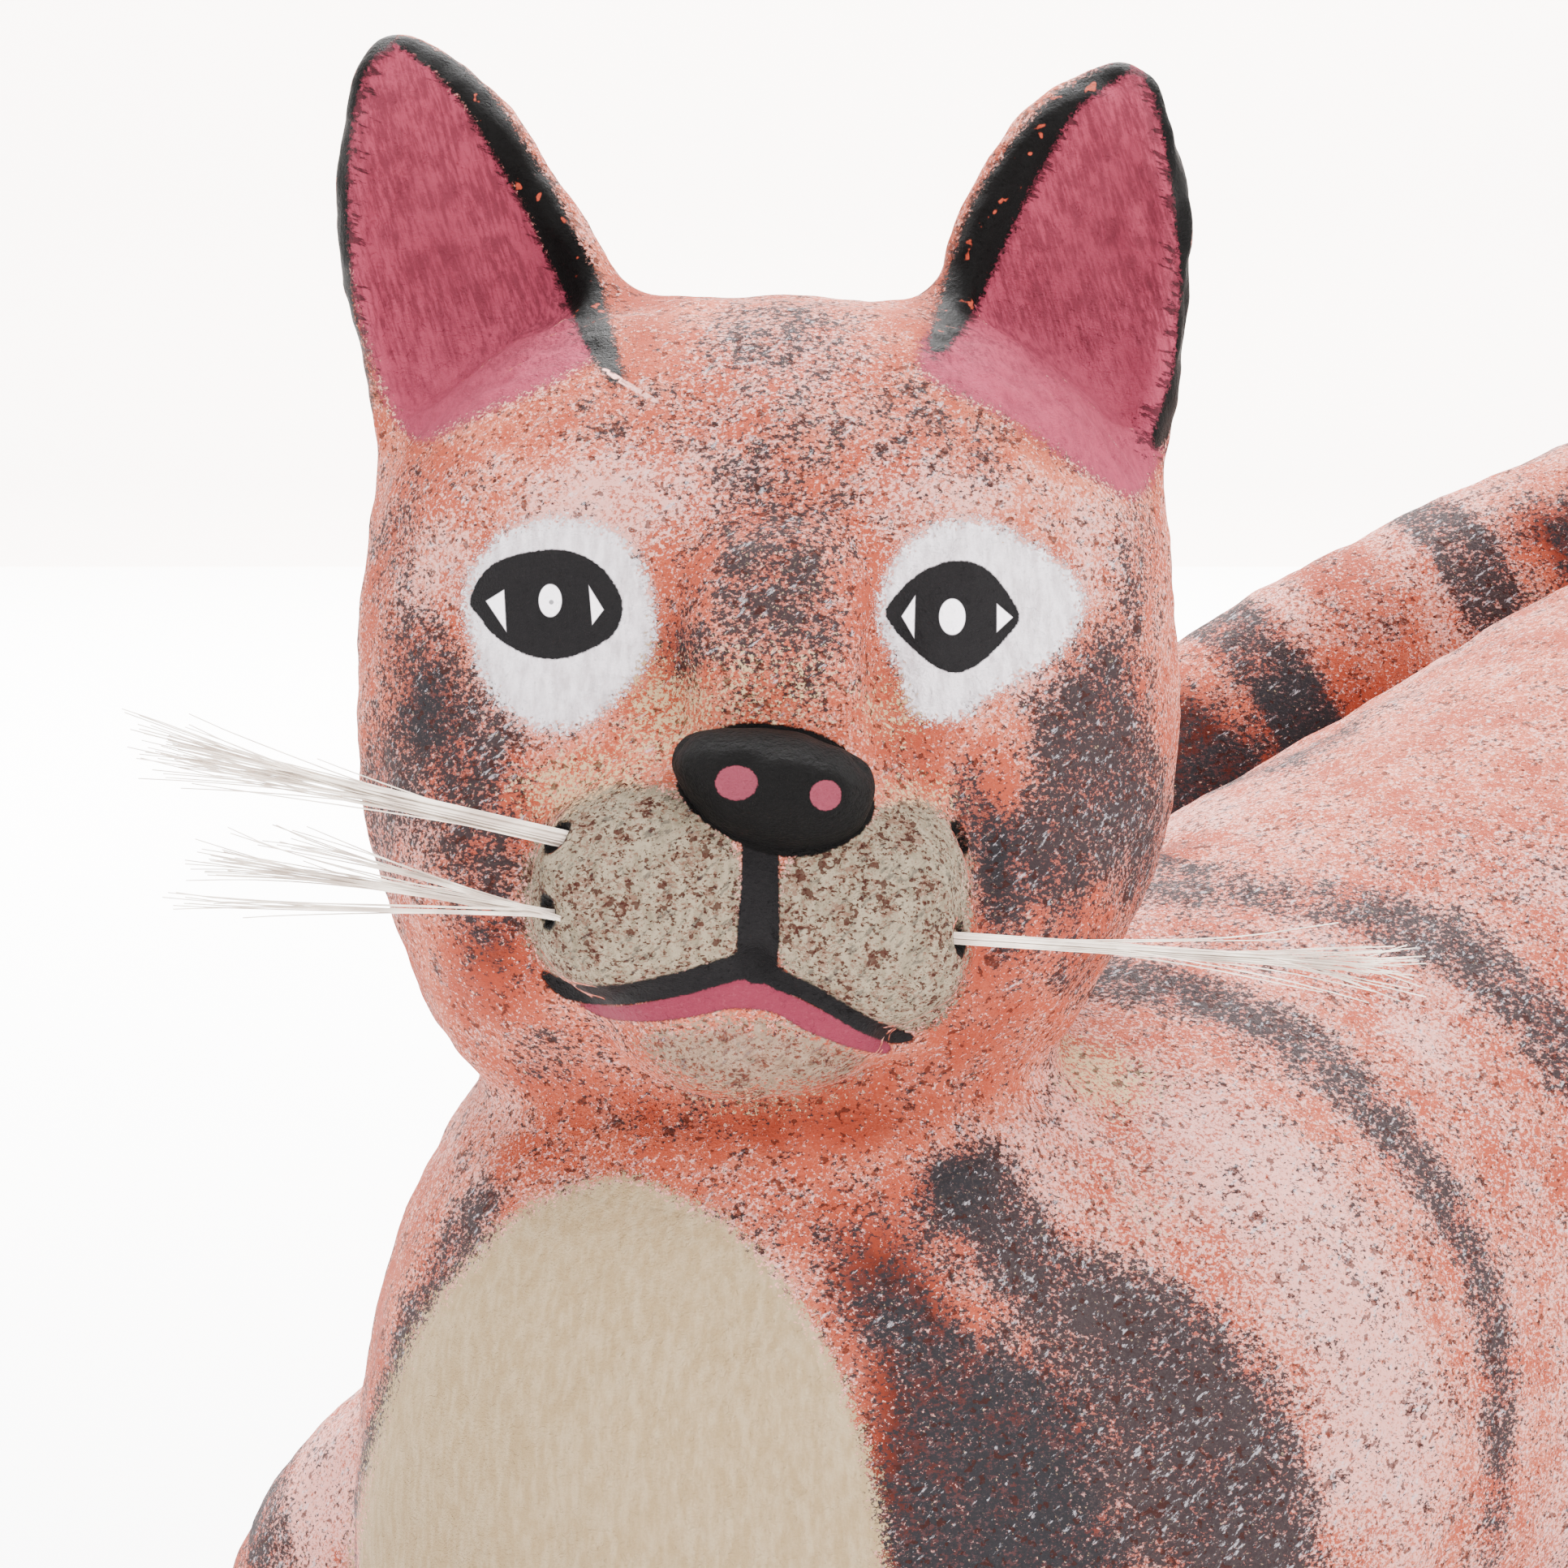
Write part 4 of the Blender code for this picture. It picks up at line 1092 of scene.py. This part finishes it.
class Graph:
    """Builds one material's nodes."""

    def __init__(self, name):
        self.material = bpy.data.materials.new(name)
        self.material.use_nodes = True
        self.tree = self.material.node_tree
        self.shader = self.tree.nodes["Principled BSDF"]
        self.shader.inputs["Specular IOR Level"].default_value = 0.05
        place = self.tree.nodes.new("ShaderNodeTexCoord").outputs["Object"]
        self.place = self.scaled(place, (1 / MM, 1 / MM, 1 / MM))

    def link(self, source, target):
        """Feeds a socket from a number, a colour or another socket."""
        if isinstance(source, Value):
            source = source.socket
        if isinstance(source, bpy.types.NodeSocket):
            self.tree.links.new(source, target)
        else:
            target.default_value = source

    def math(self, operation, a, b=0.0):
        """One sum."""
        node = self.tree.nodes.new("ShaderNodeMath")
        node.operation = operation
        self.link(a, node.inputs[0])
        self.link(b, node.inputs[1])
        return Value(self, node.outputs[0])

    def most(self, *values):
        """The greatest of several values."""
        made = values[0]
        for value in values[1:]:
            made = self.math("MAXIMUM", made, value)
        return made

    def scaled(self, vector, scale, turn=(0, 0, 0)):
        """A place turned and then stretched."""
        if any(turn):
            spin = self.tree.nodes.new("ShaderNodeMapping")
            self.link(vector, spin.inputs["Vector"])
            spin.inputs["Rotation"].default_value = turn
            vector = spin.outputs[0]
        node = self.tree.nodes.new("ShaderNodeMapping")
        self.link(vector, node.inputs["Vector"])
        node.inputs["Scale"].default_value = scale
        return node.outputs[0]

    def stored(self, name):
        """A number kept on the mesh."""
        node = self.tree.nodes.new("ShaderNodeAttribute")
        node.attribute_name = name
        return Value(self, node.outputs["Fac"])

    def stored_parts(self, name):
        """The three parts of a vector kept on the mesh."""
        node = self.tree.nodes.new("ShaderNodeAttribute")
        node.attribute_name = name
        parts = self.tree.nodes.new("ShaderNodeSeparateXYZ")
        self.link(node.outputs["Vector"], parts.inputs[0])
        return [Value(self, socket) for socket in parts.outputs]

    def noise(self, scale, detail=3.0, rough=0.55, stretch=(1, 1, 1), turn=(0, 0, 0), shift=0):
        """Noise with features of about one over scale millimetres."""
        node = self.tree.nodes.new("ShaderNodeTexNoise")
        node.noise_dimensions = "4D"
        self.link(self.scaled(self.place, stretch, turn), node.inputs["Vector"])
        node.inputs["W"].default_value = shift
        node.inputs["Scale"].default_value = scale
        node.inputs["Detail"].default_value = detail
        node.inputs["Roughness"].default_value = rough
        return Value(self, node.outputs["Fac"])

    def ramp(self, value, low, high, start=0.0, end=1.0):
        """Smooth step from start to end between two values."""
        node = self.tree.nodes.new("ShaderNodeMapRange")
        node.interpolation_type = "SMOOTHSTEP"
        for socket, part in zip(node.inputs, (value, low, high, start, end)):
            self.link(part, socket)
        return Value(self, node.outputs[0])

    def mix(self, amount, under, over):
        """One colour laid over another."""
        node = self.tree.nodes.new("ShaderNodeMix")
        node.data_type = "RGBA"
        node.clamp_factor = True
        self.link(amount, node.inputs[0])
        self.link(under, node.inputs[6])
        self.link(over, node.inputs[7])
        return node.outputs[2]

    def bump(self, height):
        """A normal from a height in millimetres."""
        node = self.tree.nodes.new("ShaderNodeBump")
        node.inputs["Distance"].default_value = MM
        self.link(height, node.inputs["Height"])
        return node.outputs[0]

    def finish(self, tint, roughness, height):
        """Feeds the shader and returns the material."""
        self.link(tint, self.shader.inputs["Base Color"])
        self.link(roughness, self.shader.inputs["Roughness"])
        self.link(self.bump(height), self.shader.inputs["Normal"])
        return self.material


# how much of red, green and blue light each paint gives back
CORAL = (0.44, 0.080, 0.042, 1)
PEACH = (0.72, 0.190, 0.110, 1)
# deep red: the paint's own, its chips in the ear bands, and painted shade in creases and under the
# jaw
EMBER = (0.30, 0.043, 0.022, 1)
# darkest brown, laid where the deep red meets slate, so partly painted shade
UMBER = (0.075, 0.014, 0.009, 1)
PINK_WHITE = (0.95, 0.47, 0.41, 1)
COLD_WHITE = (0.86, 0.82, 0.90, 1)
CREAM = (0.70, 0.49, 0.27, 1)
CHEST_CREAM = (0.44, 0.31, 0.165, 1)
CHEST_LIGHT = (0.54, 0.41, 0.25, 1)
MUZZLE_CREAM = (0.19, 0.155, 0.105, 1)
MUZZLE_LIGHT = (0.33, 0.27, 0.19, 1)
SLATE = (0.024, 0.0245, 0.028, 1)
SLATE_HAZE = (0.080, 0.084, 0.098, 1)
EYE_WHITE = (0.92, 0.86, 0.92, 1)
EYE_SHADE = (0.62, 0.56, 0.60, 1)
BLACK = (0.007, 0.0065, 0.007, 1)
NOSE_BLACK = (0.002, 0.0018, 0.0018, 1)
ROSE = (0.29, 0.042, 0.074, 1)
# lighter pink for painted light on the lower part of each ear's bowl
ROSE_LIT = (0.38, 0.060, 0.105, 1)
# darker pink for the scratches and for painted shade in the ear's hollow
ROSE_DEEP = (0.16, 0.025, 0.042, 1)
LIP_PINK = (0.135, 0.018, 0.034, 1)
NOSTRIL_PINK = (0.175, 0.033, 0.052, 1)
STAIN = (0.16, 0.066, 0.044, 1)
PIT_RED = (0.045, 0.012, 0.009, 1)
WOOD = (0.36, 0.20, 0.085, 1)
WOOD_DARK = (0.19, 0.085, 0.032, 1)
FIBRE = (0.90, 0.80, 0.70, 1)
FIBRE_DARK = (0.50, 0.40, 0.34, 1)
RAREST, FLECK_RANGE = 0.64, 0.28


def flecked(graph, grain, cover, soft=0.05):
    """Flecks of paint over about the given share of the surface."""
    return graph.ramp(grain + cover * FLECK_RANGE, RAREST - soft / 2, RAREST + soft / 2)


def paint_layers(graph):
    """The dabbed coral paint, with painted shade in its deep red: its colour and its relief."""
    slate, pale = graph.stored("slate"), graph.stored("pale")
    cream, ember_and_shade = graph.stored("cream"), graph.stored("ember_and_shade")
    cloud = graph.noise(0.10, 2, 0.5) - 0.5
    patch = graph.noise(0.32, 3, 0.6, shift=3) - 0.5
    flecks = graph.noise(1.9, 5, 0.74, stretch=(0.9, 1, 1.4), shift=1)
    specks = graph.noise(2.3, 4, 0.72, stretch=(1, 1, 1.2), shift=7)
    slant = (0, math.radians(38), 0)
    streak = graph.noise(1.2, 4, 0.7, stretch=(0.5, 1, 1.5), turn=slant, shift=5)
    fine = graph.noise(4.0, 3, 0.6, shift=2)

    base = graph.mix(graph.ramp(patch * 1.2 + cloud + (fine - 0.5), -0.2, 0.2), CORAL, PEACH)
    # deep red over the coral: partly the paint's own, partly painted shade in creases and under
    # the jaw and tail
    deep_red_and_shade = graph.ramp(ember_and_shade + patch * 0.9 + (specks - 0.5) * 1.2, 0.2, 0.8)
    base = graph.mix(deep_red_and_shade * 0.7, base, EMBER)
    # darkest brown where deep red and slate pile up, partly painted shade
    base = graph.mix(graph.ramp(ember_and_shade + slate + patch * 0.5, 1.05, 1.6), base, UMBER)
    haze = graph.ramp(pale + cloud + patch * 0.8, 0.2, 1.1) * graph.ramp(streak, 0.35, 0.6)
    tint = graph.mix(haze * 0.5, base, PINK_WHITE)
    light = flecked(graph, specks, pale * 0.62 + 0.2 + cloud * 0.5 + patch * 0.7 - ember_and_shade * 0.15)
    tint = graph.mix(light * 0.85, tint, PINK_WHITE)
    dark_cover = slate * 0.72 + 0.07 + cloud * 0.35 + patch * 1.2
    shade = graph.ramp(dark_cover + (streak - 0.5) * 0.6, 0.2, 0.85)
    tint = graph.mix(shade * 0.42, tint, SLATE_HAZE)
    dark = flecked(graph, flecks, dark_cover)
    tint = graph.mix(dark * 0.95, tint, SLATE)
    cold = flecked(graph, streak, slate * 0.04 + pale * 0.14 + patch * 0.6 - ember_and_shade * 0.1, 0.08)
    tint = graph.mix(cold * 0.45, tint, COLD_WHITE)
    buff = flecked(graph, specks, cream * 0.85 + patch * 0.3 - 0.1)
    tint = graph.mix(buff * 0.92, tint, CREAM)
    holes = graph.noise(1.0, 2, 0.5, stretch=(1, 1, 1.2), shift=13)
    pits = graph.ramp(holes + patch * 0.3, 0.61, 0.64)
    tint = graph.mix(pits * 0.75, tint, PIT_RED)
    height = flecks * 1.2 + specks * 0.9 + fine * 0.35 + light * 0.03 + buff * 0.04
    height = height - pits * 0.45
    return tint, height, flecks, specks, fine, patch, streak


def ragged(graph, distance, edge, depth, soft=0.25, grow=0.0):
    """Where a dry brush covers a shape whose edge breaks up into flecks."""
    return graph.ramp(distance + (edge - 0.5) * depth, grow + soft, grow - soft)


def bib(graph, tint, specks):
    """The cream chest laid over a colour, with its cover and its brush marks."""
    chest = ragged(graph, graph.stored("chest"), specks, 9, 0.35, 0.3)
    brushed = graph.noise(1.3, 3, 0.6, stretch=(1, 1, 0.3), shift=9)
    buff = graph.mix(graph.ramp(brushed, 0.35, 0.7), CHEST_CREAM, CHEST_LIGHT)
    return graph.mix(chest, tint, buff), chest, brushed


def body_paint():
    """The dabbed coral paint with the cream chest."""
    graph = Graph("dabbed_paint")
    tint, height, _, specks, fine, _, _ = paint_layers(graph)
    tint, chest, brushed = bib(graph, tint, specks)
    height = height + chest * (brushed * 0.12 + 0.04)
    return graph.finish(tint, 0.8 - 0.1 * fine, height)


def face_paint():
    """The head's paint, with its eyes, muzzle, mouth, nose and ears."""
    graph = Graph("face_paint")
    tint, height, flecks, specks, fine, patch, streak = paint_layers(graph)
    across, up, front = graph.stored_parts("face_place")
    ahead = graph.ramp(front, 0.2, 0.35)
    tint, _, brushed = bib(graph, tint, specks)

    rose = ragged(graph, graph.stored("rose"), specks, 5, 0.4)
    scratch = graph.noise(1.6, 4, 0.7, stretch=(1.6, 0.6, 0.22), turn=(0, 0.3, 0), shift=15)
    pink = graph.mix(graph.ramp(scratch + patch * 0.6, 0.38, 0.62), ROSE, ROSE_DEEP)
    # painted shade: the pink darkens towards the middle of the ear's bowl, broken up by patches
    bowl_shade = graph.ramp(graph.stored("rose") * -0.1 + patch * 0.8, 0.35, 0.9)
    pink = graph.mix(bowl_shade * 0.35, pink, ROSE_DEEP)
    # painted light: the lower part of each ear's bowl is lighter pink
    lit_lower_ear = graph.ramp(up + (scratch - 0.5) * 26, 47, 37)
    pink = graph.mix(lit_lower_ear * 0.45, pink, ROSE_LIT)
    tint = graph.mix(rose, tint, pink)
    band = graph.ramp(graph.stored("ear_band") + (specks - 0.5) * 2.6, 0.25, -0.1)
    comb = graph.noise(1.1, 4, 0.7, stretch=(0.3, 0.5, 1.5), turn=(0, -0.35, 0), shift=11)
    edge = graph.stored("ear_line")
    line = graph.ramp(edge + (specks - 0.5) * 2.0, 0.25, -0.1)
    dry = graph.ramp(edge + (comb - 0.5) * 13, 0.6, -0.4) * graph.ramp(edge, 3.6, 2.4)
    fray = graph.ramp(graph.stored("ear_band") + (comb - 0.5) * 8, 0.3, -0.4)
    fray = fray * graph.ramp(graph.stored("ear_band"), 2.6, 1.4)
    black_edge = graph.most(band, line, dry * 0.8, fray * 0.8)
    chips = graph.ramp(graph.noise(0.7, 2, 0.5, shift=17), 0.65, 0.69)
    tint = graph.mix(black_edge, tint, NOSE_BLACK)
    tint = graph.mix(band * chips * 0.8, tint, EMBER)
    bristle = graph.ramp(graph.stored("bristle"), 0.08, -0.05)
    tint = graph.mix(bristle, tint, PINK_WHITE)

    white = ragged(graph, graph.stored("eye_white"), specks, 7, 0.3, 0.15)
    shade = graph.mix(graph.ramp(brushed, 0.35, 0.7), EYE_WHITE, EYE_SHADE)
    tint = graph.mix(white * 0.97, tint, shade)
    muzzle = ragged(graph, graph.stored("muzzle"), specks, 7, 0.3, 0.4)
    grit = graph.noise(2.3, 3, 0.65, stretch=(1, 1, 1.4), shift=19)
    fleshy = graph.mix(graph.ramp(brushed + fine * 0.4, 0.45, 0.85), MUZZLE_CREAM, MUZZLE_LIGHT)
    fleshy = graph.mix(flecked(graph, flecks, patch * 1.6 + 0.34) * 0.7, fleshy, STAIN)
    fleshy = graph.mix(flecked(graph, grit, patch * 0.6 + 0.24) * 0.9, fleshy, PIT_RED)
    fleshy = graph.mix(flecked(graph, streak, patch * -0.8 + 0.2) * 0.55, fleshy, SLATE)
    pores = graph.ramp(graph.noise(1.3, 2, 0.5, shift=21) + patch * 0.4, 0.61, 0.64)
    fleshy = graph.mix(pores * 0.85, fleshy, PIT_RED)
    tint = graph.mix(muzzle, tint, fleshy)
    chin = ragged(graph, graph.stored("chin"), flecks, 16, 0.5, -0.3)
    tint = graph.mix(chin * 0.85, tint, fleshy)

    lip = graph.ramp(graph.stored("lip") + (fine - 0.5) * 0.5, 0.12, -0.12)
    tint = graph.mix(lip, tint, graph.mix(graph.ramp(specks, 0.5, 0.75), LIP_PINK, NOSTRIL_PINK))
    wobble = (specks - 0.5) * 0.7
    eye = graph.ramp(graph.stored("eye_black") + wobble * 0.6, 0.08, -0.08)
    tint = graph.mix(eye, tint, BLACK)

    def round_spot(x, y, wide=1, high=1):
        """Squared distance from a spot's centre, 1 on its edge."""
        dx, dy = (across - x) / wide, (up - y) / high
        return dx * dx + dy * dy

    for spot, size in EYE_LIGHTS:
        light = graph.ramp(round_spot(*spot, *size), 1.1, 0.9) * ahead
        tint = graph.mix(light, tint, EYE_WHITE)
    speck = graph.ramp(round_spot(*EYE_SPECK), 0.07, 0.03) * ahead
    tint = graph.mix(speck * 0.8, tint, SLATE)
    for corners in EYE_SLIVERS:
        middle = np.mean(corners, axis=0)
        sides = []
        for a, b in zip(corners, corners[1:] + corners[:1]):
            way = unit((b[1] - a[1], a[0] - b[0]))
            if way @ (middle - np.array(a)) > 0:
                way = -way
            sides.append(across * way[0] + up * way[1] - float(way @ np.array(a)))
        sliver = graph.ramp(graph.most(*sides), 0.08, -0.06) * ahead
        tint = graph.mix(sliver, tint, EYE_WHITE)
    mouth = graph.ramp(graph.stored("mouth") + wobble * 0.7, 0.1, -0.1)
    tint = graph.mix(mouth, tint, BLACK)
    nose = graph.ramp(graph.stored("nose") + wobble, 0.85, 0.6)
    tint = graph.mix(nose, tint, NOSE_BLACK)
    for spot, size in NOSTRILS:
        hole = graph.ramp(round_spot(*spot, *size) + (fine - 0.5) * 0.5, 1.1, 0.9) * ahead
        tint = graph.mix(hole, tint, NOSTRIL_PINK)
    ring = graph.ramp(graph.stored("hole") + wobble, 2.0, 1.7)
    tint = graph.mix(ring, tint, NOSE_BLACK)

    cover = graph.most(white, muzzle * 0.8, rose)
    paint = graph.most(eye, mouth, nose, lip, ring, black_edge)
    height = height * (1 - 0.75 * paint) * (1 - 0.35 * cover)
    height = height + cover * brushed * 0.2 + paint * (fine * 0.08 + 0.05)
    height = height - muzzle * (graph.ramp(grit, 0.6, 0.66) * 0.25 + pores * 0.4)
    height = height + nose * specks * 0.5
    rough = 0.86 - 0.3 * paint - 0.08 * fine
    graph.link(0.05 + nose * 0.02, graph.shader.inputs["Specular IOR Level"])
    return graph.finish(tint, rough, height)


def bare_wood():
    """Pale copal wood with its grain."""
    graph = Graph("copal_wood")
    rings = graph.noise(0.9, 4, 0.6, stretch=(1, 1, 0.12))
    pores = graph.noise(4.0, 2, 0.6, stretch=(1, 1, 0.15), shift=4)
    tint = graph.mix(graph.ramp(rings, 0.35, 0.68), WOOD, WOOD_DARK)
    tint = graph.mix(graph.ramp(pores, 0.6, 0.7) * 0.5, tint, WOOD_DARK)
    return graph.finish(tint, 0.75 + 0.15 * rings, rings * 0.08 + pores * 0.05)


def fibre():
    """Pale dry plant fibre."""
    graph = Graph("plant_fibre")
    tone = graph.noise(0.35, 3, 0.6, stretch=(0.4, 1, 1))
    tint = graph.mix(graph.ramp(tone, 0.35, 0.65), FIBRE, FIBRE_DARK)
    graph.shader.inputs["Transmission Weight"].default_value = 0.15
    return graph.finish(tint, 0.45 + 0.2 * tone, tone * 0.02)


# ---------------------------------------------------------------- whiskers
# root, tip beyond it in the head frame, fibres, half widths at the root and at the tip, and
# how far along the bundle the fibres begin to part
BUNDLES = [
    ("whisker_right_upper", "right_upper", (-60.5, 2, 4.2), 60, 0.8, 2.3, 0.4),
    ("whisker_right_lower_front", "right_lower", (-57.0, 2, -10.9), 12, 0.32, 0.7, 0.45),
    ("whisker_right_lower_middle", "right_lower", (-56.3, 8, -6.2), 26, 0.42, 1.9, 0.3),
    ("whisker_right_lower_back", "right_lower", (-49.5, 20, -4.2), 14, 0.32, 1.4, 0.3),
    ("whisker_left_lower", "left_lower", (59, 6, -17.2), 40, 0.62, 2.4, 0.68),
]
FIBRE_RADIUS = 0.1
FIBRE_POINTS = 12
FIRST_SEED = 40
STRAYS = 0.12
GLUED_LENGTH = 2.5


def bundle(name, root, tip, count, shaft, tuft, parting, seed):
    """A bundle of fibres glued into a hole, parting towards the tip."""
    rng = np.random.default_rng(seed)
    start = ROOTS[root]
    end = head_to_figure(tip)
    way = unit(end - start)
    side = unit(np.cross(way, (0, 0, 1)))
    up = np.cross(side, way)
    length = np.linalg.norm(end - start)
    curve = bpy.data.curves.new(name + "_fibres", "CURVE")
    curve.dimensions = "3D"
    curve.bevel_depth = FIBRE_RADIUS * MM
    curve.bevel_resolution = 1
    curve.use_fill_caps = True
    for _ in range(count):
        angle = rng.uniform(0, 2 * np.pi)
        off = shaft * math.sqrt(rng.uniform(0, 1))
        stray = rng.uniform() < STRAYS
        spread = tuft * rng.normal(0, 0.5, 2) * (2.0 if stray else 1.0)
        drop = rng.normal(0, 0.5)
        ends = length * (rng.uniform(0.55, 0.9) if stray else rng.uniform(0.86, 1.03))
        parts = parting * rng.uniform(0.6, 1.3) if not stray else parting * 0.4
        curl = rng.normal(0, 0.35, 2)
        spline = curve.splines.new("POLY")
        spline.points.add(FIBRE_POINTS - 1)
        for index in range(FIBRE_POINTS):
            t = index / (FIBRE_POINTS - 1)
            open_up = max(0.0, (t - parts) / (1 - parts)) ** 1.4
            wave = math.sin(t * 9 + angle) * open_up * 0.5
            a = off * math.cos(angle) + spread[0] * open_up + curl[0] * wave
            b = off * math.sin(angle) + spread[1] * open_up + curl[1] * wave
            b += drop * open_up**2
            place = start - way * GLUED_LENGTH * (1 - t) + way * ends * t + side * a + up * b
            spline.points[index].co = (*to_row(place), 1)
            spline.points[index].radius = 1.0 - 0.45 * t
    piece = bpy.data.objects.new(name + "_fibres", curve)
    bpy.context.collection.objects.link(piece)
    return piece


# ---------------------------------------------------------------- the figure
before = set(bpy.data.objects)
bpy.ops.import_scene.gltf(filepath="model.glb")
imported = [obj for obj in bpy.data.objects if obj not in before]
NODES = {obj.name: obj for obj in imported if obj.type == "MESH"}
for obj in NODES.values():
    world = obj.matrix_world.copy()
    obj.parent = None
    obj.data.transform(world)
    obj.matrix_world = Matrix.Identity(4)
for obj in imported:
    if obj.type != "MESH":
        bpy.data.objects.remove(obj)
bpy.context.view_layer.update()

head_skin = sculpted_skin("head", HEAD_BOX, HEAD_PITCH)
body_skin = sculpted_skin("body", BODY_BOX, BODY_PITCH)
ear_seams = [
    (head_to_figure(centre), head_to_figure(across) - HEAD_ORIGIN, radius)
    for centre, across, radius in EAR_SEAMS
]
blocks = take_blocks(head_skin, [BODY_SEAMS[0], *ear_seams], HEAD_BLOCKS)
blocks |= take_blocks(body_skin, BODY_SEAMS, BODY_BLOCKS)

centre, way = np.array(BODY_SEAMS[1][0]), unit(BODY_SEAMS[1][1])
for name, block, action, depth, radius in (
    ("socket", "torso", "DIFFERENCE", TAIL_TENON_LENGTH + 1, TAIL_TENON_RADIUS + TAIL_TENON_GAP),
    ("tenon", "tail", "UNION", TAIL_TENON_LENGTH, TAIL_TENON_RADIUS),
):
    combine(blocks[block], rod(name, centre - way * depth, centre + way * 2, radius), action)

painted, featured, bare = body_paint(), face_paint(), bare_wood()
for name, piece in blocks.items():
    on_face = name in HEAD_BLOCKS
    piece.data.materials.clear()
    piece.data.materials.append(featured if on_face else painted)
    piece.data.materials.append(bare)
    points, normals = points_of(piece.data), normals_of(piece.data)
    paint_body(piece.data, points, normals)
    if on_face:
        paint_face(piece.data, points, normals)
    piece.data.shade_smooth()
    piece.data.set_sharp_from_angle(angle=math.radians(55))
    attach(piece, "tail_body" if name == "tail" else "figure")
    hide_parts(name)

for name, node in NODES.items():
    if name.endswith("_dowel"):
        node.data.materials.clear()
        node.data.materials.append(bare)

strand = fibre()
for seed, (name, *shape) in enumerate(BUNDLES, FIRST_SEED):
    piece = bundle(name, *shape, seed)
    piece.data.materials.append(strand)
    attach(piece, "figure")
    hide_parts(name)

# ---------------------------------------------------------------- the studio
CAMERA_DISTANCE = 0.6
VIEW_WIDTH = 0.1449
SENSOR = 36.0
camera = bpy.data.objects.new("camera", bpy.data.cameras.new("camera"))
bpy.context.collection.objects.link(camera)
face = Vector(to_row(HEAD_ORIGIN))
camera.location = face - Vector((0, COS, -SIN)) * CAMERA_DISTANCE
camera.rotation_euler = (math.radians(90) - HEAD_TILT, 0, 0)
camera.data.sensor_width = SENSOR
camera.data.lens = SENSOR * CAMERA_DISTANCE / VIEW_WIDTH
camera.data.clip_start = 0.01
bpy.context.scene.camera = camera


def studio_material(name, tint, rough):
    """A plain matte studio surface with a trace of unevenness."""
    graph = Graph(name)
    tone = graph.noise(0.004, 2, 0.5)
    darker = (*(part * 0.98 for part in tint[:3]), 1)
    mixed = graph.mix(graph.ramp(tone, 0.3, 0.7) * 0.3, tint, darker)
    return graph.finish(mixed, rough, tone * 0.01)


def sheet_mesh(name, profile, width):
    """A wide sheet along X that follows a profile of (y, z)."""
    bm = bmesh.new()
    rows = [[bm.verts.new((x, y, z)) for y, z in profile] for x in (-width / 2, width / 2)]
    for a, b, c, d in zip(rows[0], rows[0][1:], rows[1][1:], rows[1]):
        bm.faces.new((a, d, c, b))
    mesh = bpy.data.meshes.new(name)
    bm.to_mesh(mesh)
    bm.free()
    mesh.shade_smooth()
    piece = bpy.data.objects.new(name, mesh)
    bpy.context.collection.objects.link(piece)
    return piece


floor = sheet_mesh("floor", [(-6.0, -0.0002), (2.9, -0.0002)], 12)
floor.data.materials.append(studio_material("floor_white", colour(250, 249, 248), 0.9))
wall = sheet_mesh("backdrop", [(2.9, -0.0002), (3.0, 0.04), (3.05, 0.2), (3.05, 4.0)], 12)
wall.data.materials.append(studio_material("backdrop_white", colour(236, 227, 221), 0.9))


def area_light(name, place, target, size, power, tint=(1, 1, 1)):
    """A soft rectangular light."""
    light = bpy.data.objects.new(name, bpy.data.lights.new(name, "AREA"))
    bpy.context.collection.objects.link(light)
    light.location = place
    light.rotation_euler = (Vector(target) - Vector(place)).to_track_quat("-Z", "Y").to_euler()
    light.data.size = size
    light.data.energy = power
    light.data.color = tint
    return light


# name, place and target in metres, size in metres, watts
area_light("window", (0.9, -1.2, 1.3), (0, 0, 0.1), 1.2, 94, (1.0, 0.985, 0.97))
area_light("sky", (-0.1, 0.1, 2.0), (0, 0, 0.1), 1.6, 80)
area_light("fill", (-1.3, -0.9, 0.5), (0, 0, 0.12), 1.2, 16)
area_light("backdrop_light", (0, 1.5, 2.4), (0, 2.9, 0.5), 2.4, 185)
area_light("floor_light", (0, 1.7, 1.8), (0, 1.7, 0), 2.0, 460)
world = bpy.data.worlds.new("studio")
bpy.context.scene.world = world
world.use_nodes = True
world.node_tree.nodes["Background"].inputs["Color"].default_value = (1.0, 0.985, 0.975, 1)
world.node_tree.nodes["Background"].inputs["Strength"].default_value = 0.95
